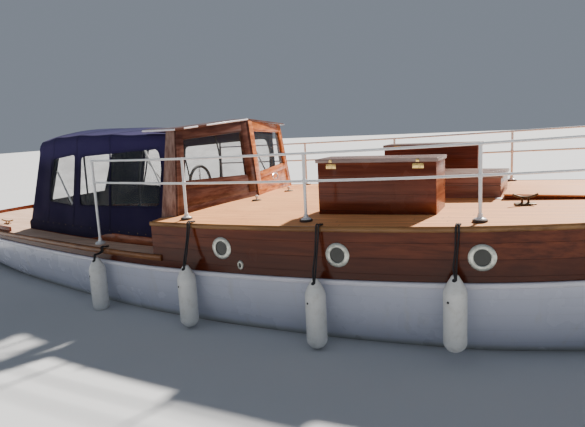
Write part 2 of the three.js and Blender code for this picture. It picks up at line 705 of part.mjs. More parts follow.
// Canopy shell: outer form less an inner form, with its windows cut
function hoopRing(row, inset) {
  const { foot, top, footHalf, eaveHalf, eave, crown } = row;
  const footZ = COAMING_TOP + SEAT - (inset ? 5 : 0);
  const share = (z) => (z - COAMING_TOP) / (crown - COAMING_TOP);
  const at = (y, z) => [foot + (top - foot) * share(z), y, z];
  const arc = [1, 0.92, 0.66, 0.33, 0, -0.33, -0.66, -0.92, -1];
  const rise = (t) => eave + (crown - eave) * (1 - Math.abs(t) ** 2.4) - inset;
  return [
    at(footHalf - inset, footZ),
    at(eaveHalf + 8 - inset, eave - 60 - inset),
    ...arc.map((t) => at((eaveHalf - inset) * t, rise(t))),
    at(-eaveHalf - 8 + inset, eave - 60 - inset),
    at(-footHalf + inset, footZ),
  ];
}
const aftShift = (row, by) => ({ ...row, foot: row.foot + by, top: row.top + by });
function canopyForm(inset) {
  const rows = HOOPS.map((row, k) => {
    if (!inset) return row;
    if (k === 0) return aftShift(row, 30);
    return k === HOOPS.length - 1 ? aftShift(row, inset) : row;
  });
  return loft(rows.map((row) => hoopRing(row, inset)));
}
const SIDE_WINDOWS = [
  // outline as [x, z] points
  [[-1178, 1090], [-1150, 1290], [-1138, 1524], [-1148, 1600], [-1180, 1660], [-1268, 1702], [-2481, 1616],
    [-2572, 1038]],
  [[-2714, 1023], [-2605, 1643], [-3141, 1580], [-3275, 1054]],
];
const PANE_ZONE = [[-1112, 990], [-1110, 1620], [-1230, 1735], [-2605, 1668], [-3165, 1610], [-3302, 1000]];
const AFT_WINDOW = { half: 480, low: 1010, top: 1600 };
const starboardCuts = SIDE_WINDOWS.map((outline) => sidePlate(outline, 400, -1100));
const aftCut = box(-4000, -3300, -AFT_WINDOW.half, AFT_WINDOW.half, AFT_WINDOW.low, AFT_WINDOW.top);
const roofGap = box(ROOF_GAP_AFT, -1000, -ROOF_GAP_HALF, ROOF_GAP_HALF, 1740, 2100);
const canopyOuter = canopyForm(0);
const canopyInner = canopyForm(CANVAS);
const canopy = [...starboardCuts, ...starboardCuts.map(mirrored), aftCut, roofGap].reduce(
  (made, cut) => made.subtract(cut),
  canopyOuter.subtract(canopyInner),
);
const skinOuter = canopyForm(CANVAS + SEAT);
const skinInner = canopyForm(CANVAS + SEAT + 3);
const clearSkin = skinOuter.subtract(skinInner);
const lap = 25;
const windowZone = sidePlate(PANE_ZONE, 450, -1150);
const paneStarboard = clearSkin.intersect(windowZone);
const panePort = clearSkin.intersect(mirrored(windowZone));
const aftZone = box(
  -4000,
  -3300,
  -AFT_WINDOW.half - lap,
  AFT_WINDOW.half + lap,
  AFT_WINDOW.low - lap,
  AFT_WINDOW.top + lap,
);
const aftPane = clearSkin.intersect(aftZone);

// Hoops that carry the canvas, standing on the coaming's inside
const HOOP_R = 11;
const FRAME_HOOPS = [2, 3, 4];
function frameHoop(row) {
  const clear = CANVAS + HOOP_R + 16;
  const { foot, top, footHalf, eaveHalf, eave, crown } = row;
  const low = COAMING_TOP - 40;
  const share = (z) => (z - low) / (crown - low);
  const at = (y, z) => [foot + (top - foot) * share(z), y, z];
  const half = [
    at(footHalf - COAMING_THICK - 8 - HOOP_R, low + 10),
    at(eaveHalf - clear - 22, eave - 230),
    at(eaveHalf - clear - 120, eave - 60),
    at(eaveHalf * 0.5, crown - clear - 28),
    at(0, crown - clear - 6),
  ];
  const hoop = tube([...half, ...half.slice(0, -1).reverse().map(([x, y, z]) => [x, -y, z])], HOOP_R, 8, 28);
  const seatY = coamingHalf(foot - 18) - COAMING_THICK - SEAT;
  const socket = box(foot - 18, foot + 18, footHalf - COAMING_THICK - 44, seatY, low, low + 34);
  return join(hoop, socket, mirrored(socket));
}
const ridge = rod(
  [HOOPS[2].top + 10, 0, HOOPS[2].crown - CANVAS - HOOP_R - 16],
  [HOOPS[4].top - 10, 0, HOOPS[4].crown - CANVAS - HOOP_R - 16],
  9,
  8,
);
const canopyFrame = join(...FRAME_HOOPS.map((k) => frameHoop(HOOPS[k])), ridge);

// Guard rails, in lengths that meet at a post
const RAIL_LENGTHS = [
  { name: "aft", firstPost: 0, lastPost: 1 },
  { name: "waist", firstPost: 2, lastPost: 2 },
  { name: "mid", firstPost: 3, lastPost: 3 },
  { name: "fore", firstPost: 4, lastPost: 6 },
];
function railSolids() {
  const feet = POSTS.map(([x, half]) => {
    const aft = x < BREAK_X;
    const foot = aft ? aftDeckTop(x, half) : foredeckTop(x, half);
    return { x, y: -half, aft, foot, rail: raisedEdge(x) + 20 + RAIL_TALL };
  });
  const ends = (drop) => feet.map(({ x, y, rail }) => [x, y, rail - drop]);
  const rails = join(...[0, RAIL_TALL - RAIL_LOW].map((drop) => tube(ends(drop), RAIL_R, 8, 30)));
  const posts = feet.map(({ x, y, aft, foot, rail }) => {
    const post = join(
      turned(
        [
          [0, foot - SINK],
          [BASE_R, foot - SINK],
          [BASE_R, foot + 12],
          [24, foot + 18],
          [POST_R, foot + 60],
          [0, foot + 60],
        ],
        x,
        y,
      ),
      rod([x, y, foot + 10], [x, y, rail + 4], POST_R, 10),
    );
    return aft ? onAftDeck(post) : onForedeck(post);
  });
  return RAIL_LENGTHS.map(({ name, firstPost, lastPost }) => {
    const from = firstPost ? feet[firstPost - 1].x + POST_R + SEAT : TRANSOM_X;
    const to = lastPost < feet.length - 1 ? feet[lastPost].x : STEM_X;
    return { name, made: join(between(rails, from, to), ...posts.slice(firstPost, lastPost + 1)) };
  });
}
const railsStarboard = railSolids();

// Deck boxes, with lids hinged on their inboard edges
function deckBox({ name, aft, fore, tall }) {
  const { inner, outer, wall, lip, lid } = BOX;
  const floor = foredeckTop(fore, inner) + 14;
  const top = foredeckTop(aft, outer) + tall;
  const inside = box(aft + wall, fore - wall, -outer + wall, -inner - wall, floor, top + 10);
  const outside = box(aft, fore, -outer, -inner, raisedEdge(aft) - SINK / 2, top);
  const lidTop = top + SEAT + lid;
  return {
    name,
    made: onForedeck(outside.subtract(inside)),
    lidMade: box(aft - lip, fore + lip, -outer - lip, -inner, top + SEAT, lidTop),
  };
}
const deckBoxes = BOXES.map(deckBox);

// Low locker on the centreline, its lid hinged aft
const lockerTop = foredeckTop(LOCKER.aft, 0) + LOCKER.tall;
const locker = onForedeck(
  box(LOCKER.aft, LOCKER.fore, -LOCKER.half, LOCKER.half, 1000, lockerTop).subtract(
    box(
      LOCKER.aft + LOCKER.wall,
      LOCKER.fore - LOCKER.wall,
      -LOCKER.half + LOCKER.wall,
      LOCKER.half - LOCKER.wall,
      foredeckTop(LOCKER.fore, 0) + 12,
      lockerTop + 10,
    ),
  ),
);
const lockerLid = box(
  LOCKER.aft,
  LOCKER.fore + LOCKER.lip,
  -LOCKER.half - LOCKER.lip,
  LOCKER.half + LOCKER.lip,
  lockerTop + SEAT,
  lockerTop + SEAT + LOCKER.lid,
);

// Fore hatch: a low frame round an opening through the deck, under a flush lid hinged forward
const hatchTop = foredeckTop(HATCH.fore, 0) + HATCH.tall;
const hatchFrame = onForedeck(
  box(HATCH.aft, HATCH.fore, -HATCH.half, HATCH.half, 1050, hatchTop).subtract(hatchWell),
);
const hatchLid = box(
  HATCH.aft - 8,
  HATCH.fore,
  -HATCH.half - HATCH.lip,
  HATCH.half + HATCH.lip,
  hatchTop + SEAT,
  hatchTop + SEAT + HATCH.lid,
);

// Mooring post on the foredeck
const POST = { x: 4300, half: 48, tall: 300 };
const postFoot = foredeckTop(POST.x, 0);
const mooringPost = onForedeck(
  join(
    box(POST.x - POST.half, POST.x + POST.half, -POST.half, POST.half, postFoot - SINK, postFoot + POST.tall),
    rod([POST.x, -130, postFoot + 200], [POST.x, 130, postFoot + 200], 14, 10),
  ),
);

// Fenders with their lanyards up to an eye on the deck edge
function fender([x, eye]) {
  const y = -Math.max(deckHalf(x) + MOULDING_OUT + 4, strakeHalf(x) + STRAKE_OUT + FENDER_R + 4);
  const low = eye - 70 - FENDER_LONG;
  const body = turned(
    [
      [0, low],
      [FENDER_R * 0.55, low + 14],
      [FENDER_R * 0.9, low + 50],
      [FENDER_R, low + 95],
      [FENDER_R, eye - 175],
      [FENDER_R * 0.86, eye - 120],
      [26, eye - 30],
      [24, eye],
      [0, eye + 6],
    ],
    x,
    y,
    16,
  );
  const edge = x < BREAK_X ? aftEdge(x) : raisedEdge(x);
  const overY = -deckHalf(x) - MOULDING_OUT - 14;
  const line = tube(
    [
      [x, y, eye - 20],
      [x, (y + overY) / 2, (eye + edge) / 2],
      [x, overY, edge - 24],
      [x, overY + 6, edge + 14],
      [x, overY + 28, edge + 26],
      [x, -deckHalf(x) + 20, edge + 17],
      [x, -deckHalf(x) + 65, edge + 6],
    ],
    7,
    8,
    16,
  );
  return (x < BREAK_X ? onAftDeck : onForedeck)(join(body, line));
}

// Shaft, screw and rudder
const shaft = rod([SHAFT.aft, 0, SHAFT.z], [SHAFT.fore, 0, SHAFT.z], SHAFT.r, 16);
function screwSolid() {
  const hub = rod([SCREW.x - 45, 0, SHAFT.z], [SCREW.x + 45, 0, SHAFT.z], SCREW.hub, 16);
  const blades = [0, 1, 2].map((k) => {
    const outline = new THREE.Shape();
    outline.moveTo(-38, 20);
    outline.bezierCurveTo(-130, 110, -120, SCREW.r - 20, 0, SCREW.r);
    outline.bezierCurveTo(120, SCREW.r - 20, 130, 110, 38, 20);
    const blade = new THREE.ExtrudeGeometry(outline, { depth: 12, bevelEnabled: false, curveSegments: 6 });
    blade.translate(0, 0, -6).rotateY(THREE.MathUtils.degToRad(62)).rotateX((k * 2 * Math.PI) / 3);
    return solid(blade.translate(SCREW.x, 0, SHAFT.z));
  });
  return join(hub, ...blades).subtract(
    rod([SCREW.x - 60, 0, SHAFT.z], [SCREW.x + 60, 0, SHAFT.z], SHAFT.r + 0.9, 16),
  );
}
const screw = screwSolid();

const rudderPlate = sidePlate(
  [
    [RUDDER.x + RUDDER.fore, RUDDER.bottom + 30],
    [RUDDER.x + RUDDER.fore, RUDDER.top - 60],
    [RUDDER.x + 30, RUDDER.top],
    [RUDDER.x - RUDDER.chord + 60, RUDDER.top + 10],
    [RUDDER.x - RUDDER.chord, RUDDER.top - 120],
    [RUDDER.x - RUDDER.chord, RUDDER.bottom + 90],
    [RUDDER.x - RUDDER.chord + 80, RUDDER.bottom],
    [RUDDER.x + 40, RUDDER.bottom],
  ],
  RUDDER.half,
);
const rudder = join(
  rudderPlate,
  rod([RUDDER.x, 0, -KEEL_DEEP + HEEL_TALL + SEAT], [RUDDER.x, 0, 120], 24, 16),
);

// The assembly
const boat = new THREE.Group();
boat.name = "motor_cruiser";

function add(name, made, colour, opacity = 1) {
  const [color, roughness, metalness] = colours[colour];
  const transparent = opacity < 1;
  const material = new THREE.MeshStandardMaterial({ color, roughness, metalness, opacity, transparent });
  const mesh = new THREE.Mesh(geometryOf(made), material);
  mesh.name = name;
  boat.add(mesh);
}

function addPair(name, made, colour, opacity) {
  add(`${name}_starboard`, made, colour, opacity);
  add(`${name}_port`, mirrored(made), colour, opacity);
}

HULL_LENGTHS.forEach(({ name, from, to, cuts }) => {
  add(`hull_${name}`, cutBy(between(wholeHull, from, to), cuts), "white");
});
add("keel", keel, "antifouling");
add("stem", stem, "varnish");
add("raised_topsides", raisedTopsides, "varnish");
add("aft_topsides", aftTopsides, "varnish");
FOREDECK_LENGTHS.forEach(({ name, from, to }) => {
  add(`foredeck_${name}`, between(wholeForedeck, from, to), "teak");
});
add("aft_deck", aftDeck, "teak");
addPair("strake", strake, "white");
addPair("gunwale_moulding", gunwale, "golden");
add("aft_moulding", aftMoulding, "golden");
add("stern_toe_rail", toeRail, "varnish");
add("coaming", coaming, "varnish");
add("cockpit_sole", sole, "teak");
add("companion_bulkhead", bulkhead, "varnish");
add("cabin_door", door, "varnish");
add("engine_block", engine, "iron");
add("dash", dash, "varnish");
add("steering_wheel", wheel, "black");
addPair("bench", benchStarboard, "varnish");
addPair("windscreen", screenStarboard, "varnish");
addPair("windscreen_glass", screenGlass, "clear", 0.35);
add("visor", visor, "white");
add("canopy", canopy, "canvas");
add("canopy_side_pane_starboard", paneStarboard, "clear", 0.35);
add("canopy_side_pane_port", panePort, "clear", 0.35);
add("canopy_aft_pane", aftPane, "clear", 0.35);
add("canopy_frame", canopyFrame, "tube");
railsStarboard.forEach(({ name, made }) => addPair(`guard_rail_${name}`, made, "white"));
deckBoxes.forEach(({ name, made, lidMade }) => {
  const turnedTo = (piece) => (name === "port" ? mirrored(piece) : piece);
  add(`deck_box_${name}`, turnedTo(made), "varnish");
  add(`deck_box_lid_${name}`, turnedTo(lidMade), "varnish");
});
add("low_locker", locker, "varnish");
add("low_locker_lid", lockerLid, "varnish");
add("fore_hatch_frame", hatchFrame, "varnish");
add("fore_hatch_lid", hatchLid, "teak");
add("mooring_post", mooringPost, "varnish");
FENDERS.forEach((row, k) => add(`fender_${k + 1}`, fender(row), "fender"));
add("propeller_shaft", shaft, "brass");
add("propeller", screw, "brass");
add("rudder", rudder, "antifouling");

export default boat;
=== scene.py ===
"""Dresses the frame of a wooden raised-deck motor cruiser. Metres, X forward, Y to port, Z up."""

import math

import bmesh
import bpy
from bpy.props import FloatProperty, FloatVectorProperty, IntProperty, PointerProperty
from mathutils import Matrix, Vector


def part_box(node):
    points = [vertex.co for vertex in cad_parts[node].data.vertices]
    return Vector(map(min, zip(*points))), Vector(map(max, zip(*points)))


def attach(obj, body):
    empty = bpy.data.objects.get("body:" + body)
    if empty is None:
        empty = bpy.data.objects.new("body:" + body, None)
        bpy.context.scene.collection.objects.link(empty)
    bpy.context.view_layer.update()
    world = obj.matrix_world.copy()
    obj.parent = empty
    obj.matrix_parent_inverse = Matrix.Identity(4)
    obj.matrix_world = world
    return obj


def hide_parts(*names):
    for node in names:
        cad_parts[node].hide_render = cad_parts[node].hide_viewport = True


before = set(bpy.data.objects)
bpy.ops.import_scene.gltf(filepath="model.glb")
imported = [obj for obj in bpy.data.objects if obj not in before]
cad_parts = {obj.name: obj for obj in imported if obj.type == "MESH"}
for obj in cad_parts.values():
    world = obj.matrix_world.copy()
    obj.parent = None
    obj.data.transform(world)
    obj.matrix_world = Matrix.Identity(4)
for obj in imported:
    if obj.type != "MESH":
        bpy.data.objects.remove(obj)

bl_info = {
    "name": "Raised-Deck Motor Cruiser",
    "version": (1, 0, 0),
    "blender": (4, 5, 0),
    "location": "3D Viewport > Sidebar > Cruiser",
    "description": "Builds the visible skin of a wooden motor cruiser around its frame",
    "category": "Object",
}

SIDES = (("starboard", -1), ("port", 1))
SEAT = 0.0003
WELD = 1e-6
NODE_WELD = 2e-5

# Hull lines
TRANSOM_X = -5.6
BREAK_X = -1.035
STEM_X = 5.38
STEM_HALF = 0.038
KEEL_HALF = 0.045
STATIONS = (
    # x, half breadth at the deck edge, height of the bottom, fullness of the sides, of the floors
    (TRANSOM_X, 0.680, 0.060, 2.2, 2.6),
    (-4.900, 0.815, -0.070, 2.2, 2.5),
    (-4.190, 0.970, -0.200, 2.3, 2.4),
    (-3.400, 1.125, -0.320, 2.4, 2.3),
    (-2.690, 1.262, -0.410, 2.5, 2.2),
    (-1.900, 1.408, -0.475, 2.6, 2.2),
    (-1.370, 1.485, -0.500, 2.7, 2.2),
    (BREAK_X, 1.526, -0.510, 2.7, 2.1),
    (-0.380, 1.572, -0.520, 2.7, 2.1),
    (0.400, 1.590, -0.520, 2.6, 2.0),
    (1.100, 1.580, -0.510, 2.5, 1.9),
    (1.600, 1.550, -0.500, 2.4, 1.8),
    (2.100, 1.497, -0.490, 2.3, 1.7),
    (2.630, 1.394, -0.475, 2.1, 1.6),
    (3.100, 1.265, -0.460, 2.0, 1.5),
    (3.600, 1.083, -0.440, 1.8, 1.4),
    (4.100, 0.850, -0.415, 1.6, 1.3),
    (4.600, 0.570, -0.385, 1.5, 1.2),
    (5.050, 0.285, -0.350, 1.4, 1.1),
    (STEM_X, STEM_HALF, -0.320, 1.4, 1.1),
)
HALF, BOTTOM, FULL_SIDES, FULL_FLOORS = 1, 2, 3, 4
STATION_STEP = 0.1
SHEER = {"x": 2.070, "z": 1.060, "slope": 0.034, "curve": 0.0034}
STRAKE_LINE = {"z": 0.553, "slope": 0.0255, "curve": 0.0046}
DECK_STEP = 0.335
DECK_THICK = 0.028
STRAKE_TALL = 0.046
STRAKE_OUT = 0.028
MOULDING_TALL = 0.042
AFT_MOULDING_TALL = 0.060
MOULDING_OUT = 0.020
MOULDING_PROUD = 0.004

# Cockpit
SOLE_TOP = 0.230
SOLE_THICK = 0.030
COAMING = ((TRANSOM_X, 0.420), (-3.820, 0.782), (-3.350, 0.884), (-2.750, 1.014), (-2.000, 1.152),
           (-1.290, 1.250), (BREAK_X, 1.256))
COAMING_AFT = -3.820
COAMING_THICK = 0.024
COAMING_TALL = 0.108
COMPANION = {"deep": 0.650, "half": 0.290, "low": SOLE_TOP, "high": 0.950}
ENGINE_BAY = ((-2.660, -0.420, -0.2703), (-1.520, 0.420, 0.260))
HATCH = {"aft": 2.160, "fore": 3.080, "half": 0.440, "wall": 0.040, "floor": 0.700}

# Windscreen
SCREEN_POSTS = {
    # (x, y) at the foot, (x, y) at the top
    "apex": ((-0.680, 0.0), (-0.780, 0.0)),
    "corner": ((-0.895, -1.290), (-0.955, -1.130)),
    "wing": ((-1.034, -1.351), (-1.034, -1.173)),
}
SCREEN_THICK = 0.042
SCREEN_FOOT = 1.0
APEX_TOP = 1.945
SCREEN_FALL = 0.065
PANE_INNER = {"share": 0.115, "low": 1.300, "top": 1.828}
PANE_OUTER = {"share": 0.925, "low": 1.335, "top": 1.785}
VISOR = {"thick": 0.024, "half": 1.200, "front_mid": -0.758, "front_side": -0.895, "aft": -1.335,
         "band": 0.230, "arm": 0.150}


# Canopy hoops, from forward to aft
HOOPS = (
    # x at the foot, x at the top, half width at the foot, at the eave, height of the eave, of the crown
    (-1.064, -1.064, 1.241, 1.146, 1.838, 1.858),
    (-1.390, -1.370, 1.226, 1.138, 1.846, 1.874),
    (-2.000, -1.900, 1.143, 1.084, 1.862, 1.900),
    (-2.750, -2.500, 1.005, 0.984, 1.866, 1.928),
    (-3.350, -3.000, 0.876, 0.880, 1.846, 1.938),
    (-3.800, -3.340, 0.774, 0.800, 1.795, 1.915),
)
FRAME_HOOPS = (2, 3, 4)
FORE_HOOP = (-1.485, -1.475, 1.223, 1.136, 1.848, 1.874)
CANVAS = 0.012
CANOPY_WALL = 0.42  # share of the way from the crown to the foot
EAVE_DROP = 0.030
EAVE_IN = 0.004
SKIRT = {"fore": -1.95, "taper": 0.45, "deep": 0.084, "wrap": 0.004}
ROOF_GAP = ((-1.450, -0.980, 1.740), (-1.000, 0.980, 2.100))
SIDE_WINDOWS = (
    # outline as (x, z) points
    ((-1.178, 1.090), (-1.138, 1.524), (-1.180, 1.690), (-2.481, 1.616), (-2.572, 1.038)),
    ((-2.714, 1.023), (-2.605, 1.643), (-3.141, 1.580), (-3.275, 1.054)),
)
AFT_WINDOW = {"half": 0.480, "low": 1.010, "top": 1.600}
HOOP_R = 0.011

# Guard rails
RAIL_TALL = 0.585
RAIL_LOW = 0.345
RAIL_R = 0.011
POST_R = 0.014
BASE_R = 0.058
POSTS = ((-2.035, 1.262), (-0.680, 1.402), (0.625, 1.402), (2.075, 1.350), (3.350, 1.060),
         (4.420, 0.560), (5.020, 0.150))
RAIL_LENGTHS = (("aft", 0, 1), ("waist", 2, 2), ("mid", 3, 3), ("fore", 4, 6))

# Deck gear
BOX_OUTER = 1.129
POST_X = 4.300
FENDERS = ((1.941, 0.705), (0.826, 0.600), (-0.515, 0.610), (-1.822, 0.560))
FENDER_R = 0.092
FENDER_LONG = 0.520
PORTHOLES = ((-0.165, 0.220), (0.984, 0.236), (2.112, 0.237), (3.260, 0.238))  # x, drop from the deck edge

# Stern gear
SHAFT_Z = -0.420
SCREW_X = -4.5
WHEEL = {"x": -1.180, "y": -0.457, "z": 1.246, "r": 0.198, "rim": 0.017}


# Lines of the boat
def read(rows, column, x):
    """A smooth curve through one column of a table that is ordered by its first one."""
    k = 0
    while k < len(rows) - 2 and x > rows[k + 1][0]:
        k += 1

    def slope(i):
        a = rows[max(i - 1, 0)]
        b = rows[min(i + 1, len(rows) - 1)]
        return (b[column] - a[column]) / (b[0] - a[0])

    span = rows[k + 1][0] - rows[k][0]
    t = min(1.0, max(0.0, (x - rows[k][0]) / span))
    v0 = rows[k][column]
    v1 = rows[k + 1][column]
    ease = t * t * (3 - 2 * t)
    start = t * (1 - t) ** 2 * slope(k) * span
    end = t * t * (t - 1) * slope(k + 1) * span
    return v0 + (v1 - v0) * ease + start + end


def clamp01(t):
    return min(1.0, max(0.0, t))


def smooth(t):
    t = clamp01(t)
    return t * t * (3 - 2 * t)


def deck_half(x):
    return read(STATIONS, HALF, x)


def strake_half(x):
    return max(STEM_HALF, deck_half(x) * (1 - 0.12 * smooth((x - 2.0) / 2.6)))


def raised_edge(x):
    forward = x - SHEER["x"]
    return SHEER["z"] + SHEER["slope"] * forward + SHEER["curve"] * forward ** 2


def aft_edge(x):
    return raised_edge(x) - DECK_STEP


def strake_top(x):
    line = STRAKE_LINE
    return line["z"] + line["slope"] * x + line["curve"] * x * x + 0.003 * min(0.0, x + 2.5) ** 2


def hull_top(x):
    return strake_top(x) - STRAKE_TALL / 2


def stem_shift(x, z):
    depth = max(0.0, (1.210 - z) / 1.700)
    return smooth((x - 3.0) / (STEM_X - 3.0)) * (0.083 * depth + 0.867 * depth ** 6)


def half_at(x, z):
    top = hull_top(x)
    if z >= top:
        share = (z - top) / (raised_edge(x) - top)
        return strake_half(x) + (deck_half(x) - strake_half(x)) * share
    depth = clamp01((top - z) / (top - read(STATIONS, BOTTOM, x)))
    share = (1 - depth ** read(STATIONS, FULL_SIDES, x)) ** (1 / read(STATIONS, FULL_FLOORS, x))
    return KEEL_HALF + max(0.0, strake_half(x) - KEEL_HALF) * share


def side(x, z, out=0.0):
    return Vector((x - stem_shift(x, z), half_at(x, z) + out, z))


def raised_camber(x):
    return 0.053 * deck_half(x) / 1.590


def aft_camber(x):
    return 0.030 * deck_half(x) / 1.500


def foredeck_top(x, y):
    return raised_edge(x) + raised_camber(x) * (1 - (y / deck_half(x)) ** 2)


def aft_deck_top(x, y):
    return aft_edge(x) + aft_camber(x) * (1 - (y / deck_half(x)) ** 2)


def deck_top(x, y):
    return aft_deck_top(x, y) if x < BREAK_X else foredeck_top(x, y)


def coaming_half(x):
    return read(COAMING, 1, x)


COAMING_TOP = aft_edge(COAMING_AFT) + COAMING_TALL


def screen_top(y):
    return APEX_TOP - SCREEN_FALL * abs(y)


def spaced(start, end, step):
    count = max(2, math.ceil(abs(end - start) / step) + 1)
    return [start + (end - start) * i / (count - 1) for i in range(count)]


# Mesh tools
def outward(bm):
    """Turns every face outwards."""
    bmesh.ops.recalc_face_normals(bm, faces=bm.faces)


def to_port(bm):
    """Mirrors a shape that was drawn to starboard; its faces are turned outwards after this."""
    bmesh.ops.scale(bm, vec=(1, -1, 1), verts=bm.verts)


def settled(bm, sign):
    """Leaves a shape that was drawn to starboard there or takes it to port, its faces outwards."""
    if sign > 0:
        to_port(bm)
    outward(bm)


def thickened(bm, thickness):
    """Gives an open sheet a wall and turns its faces outwards."""
    bmesh.ops.solidify(bm, geom=bm.faces[:], thickness=thickness)
    outward(bm)


def mesh_of(name, bm):
    """A mesh from a finished shape, which is freed."""
    mesh = bpy.data.meshes.new(name)
    bm.to_mesh(mesh)
    bm.free()
    return mesh


def linked(name, data):
    """A new object in the scene."""
    made = bpy.data.objects.new(name, data)
    bpy.context.scene.collection.objects.link(made)
    return made


def verts_of(geom):
    return [g for g in geom if isinstance(g, bmesh.types.BMVert)]


def drawn(bm, points, closed=False):
    """A chain of edges through some points."""
    verts = [bm.verts.new(p) for p in points]
    edges = [bm.edges.new(pair) for pair in zip(verts, verts[1:])]
    if closed:
        edges.append(bm.edges.new((verts[-1], verts[0])))
    return verts, edges


def loft(bm, rows, solid=False):
    """Draws the first row and extrudes it from row to row; a solid has closed rows and both its ends."""
    verts, edges = drawn(bm, rows[0], solid)
    if solid:
        bmesh.ops.contextual_create(bm, geom=edges)
    for row in rows[1:]:
        made = bmesh.ops.extrude_edge_only(bm, edges=edges)["geom"]
        fresh = set(verts_of(made))
        edges = [g for g in made if isinstance(g, bmesh.types.BMEdge) and set(g.verts) <= fresh]
        after = {}
        for vert in fresh:
            for edge in vert.link_edges:
                other = edge.other_vert(vert)
                if other not in fresh:
                    after[other] = vert
        verts = [after[v] for v in verts]
        for vert, place in zip(verts, row):
            vert.co = place
    if solid:
        bmesh.ops.contextual_create(bm, geom=edges)
    return bm


def absorb(bm, part, place=None, material=0):
    """Moves a finished small shape into a larger mesh."""
    for face in part.faces:
        face.material_index = material
    if place is not None:
        bmesh.ops.transform(part, matrix=place, verts=part.verts)
    mesh = mesh_of("part", part)
    bm.from_mesh(mesh)
    bpy.data.meshes.remove(mesh)


def rounded(part, radius, segments=2, angle=30.0):
    """Bevels every edge that is sharper than the angle."""
    edges = [e for e in part.edges if e.is_manifold and e.calc_face_angle(0.0) > math.radians(angle)]
    bmesh.ops.bevel(part, geom=edges, offset=radius, offset_type="OFFSET", segments=segments,
                    profile=0.5, affect="EDGES", material=-1, clamp_overlap=True)


def block(bm, low, high, radius=0.004, segments=2, place=None, material=0):
    part = bmesh.new()
    bmesh.ops.create_cube(part, size=1.0)
    low, high = Vector(low), Vector(high)
    for vert in part.verts:
        vert.co = [(low[i] + high[i]) / 2 + vert.co[i] * (high[i] - low[i]) for i in range(3)]
    if radius:
        rounded(part, radius, segments)
    absorb(bm, part, place, material)


def plate(bm, outline, low, high, radius=0.003, segments=2, place=None, material=0):
    """A flat outline in X and Y, as thick as from low to high."""
    part = bmesh.new()
    verts, edges = drawn(part, [(x, y, low) for x, y in outline], True)
    face = bmesh.ops.contextual_create(part, geom=edges)["faces"]
    top = bmesh.ops.extrude_face_region(part, geom=face)["geom"]
    bmesh.ops.translate(part, vec=(0, 0, high - low), verts=verts_of(top))
    outward(part)
    if radius:
        rounded(part, radius, segments)
    absorb(bm, part, place, material)


def lathe(bm, profile, place=None, steps=24, material=0, closed=False):
    """Turns a line of (radius, height) points about Z; a closed line makes a ring."""
    part = bmesh.new()
    verts, edges = drawn(part, [(r, 0, h) for r, h in profile], closed)
    bmesh.ops.spin(part, geom=verts + edges, cent=(0, 0, 0), axis=(0, 0, 1), angle=2 * math.pi,
                   steps=steps, use_merge=True, use_duplicate=False)
    bmesh.ops.remove_doubles(part, verts=part.verts, dist=WELD)
    outward(part)
    absorb(bm, part, place, material)


def flow(points, steps=8):
    """A smooth run of points through the given ones."""
    given = [Vector(p) for p in points]
    made = []
    for k, (p1, p2) in enumerate(zip(given, given[1:])):
        p0 = given[k - 1] if k else p1 * 2 - p2
        p3 = given[k + 2] if k + 2 < len(given) else p2 * 2 - p1
        near = (p2 - p1).length
        m1 = (p2 - p1) / near + (p1 - p0) / (p1 - p0).length - (p2 - p0) / ((p1 - p0).length + near)
        m2 = (p2 - p1) / near + (p3 - p2) / (p3 - p2).length - (p3 - p1) / ((p3 - p2).length + near)
        for i in range(steps):
            t = i / steps
            made.append(p1 * (2 * t ** 3 - 3 * t * t + 1) + m1 * near * (t ** 3 - 2 * t * t + t)
                        + p2 * (3 * t * t - 2 * t ** 3) + m2 * near * (t ** 3 - t * t))
    return made + [given[-1]]


def tube(bm, points, radius, resolution=4, material=0):
    """A round tube along points, made as a curve and turned into mesh."""
    curve = bpy.data.curves.new("run", "CURVE")
    curve.dimensions = "3D"
    curve.bevel_depth = radius
    curve.bevel_resolution = resolution
    curve.use_fill_caps = True
    spline = curve.splines.new("POLY")
    spline.points.add(len(points) - 1)
    for knot, place in zip(spline.points, points):
        knot.co = (*place, 1.0)
    holder = bpy.data.objects.new("run", curve)
    mesh = bpy.data.meshes.new_from_object(holder)
    part = bmesh.new()
    part.from_mesh(mesh)
    bmesh.ops.remove_doubles(part, verts=part.verts, dist=WELD)
    absorb(bm, part, None, material)
    bpy.data.objects.remove(holder)
    bpy.data.curves.remove(curve)
    bpy.data.meshes.remove(mesh)


def both_sides(bm):
    """Adds the mirror image across the centreline."""
    geom = bm.verts[:] + bm.edges[:] + bm.faces[:]
    bmesh.ops.mirror(bm, geom=geom, matrix=Matrix(), merge_dist=-1.0, axis="Y")
    outward(bm)


def node_shape(bm, node, radius=0.003, segments=2, material=0, angle=30.0):
    """A merged copy of one node's solid, its sharp edges rounded."""
    part = bmesh.new()
    part.from_mesh(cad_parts[node].data)
    bmesh.ops.remove_doubles(part, verts=part.verts, dist=NODE_WELD)
    bmesh.ops.dissolve_limit(part, angle_limit=math.radians(1.0), use_dissolve_boundaries=False,
                             verts=part.verts, edges=part.edges)
    outward(part)
    if radius:
        rounded(part, radius, segments, angle)
    absorb(bm, part, None, material)


def axes(origin, x_axis, z_axis):
    """A place whose Z runs along z_axis and whose X lies nearest to x_axis."""
    z = Vector(z_axis).normalized()
    y = z.cross(Vector(x_axis)).normalized()
    x = y.cross(z)
    made = Matrix((x, y, z)).transposed().to_4x4()
    made.translation = Vector(origin)
    return made


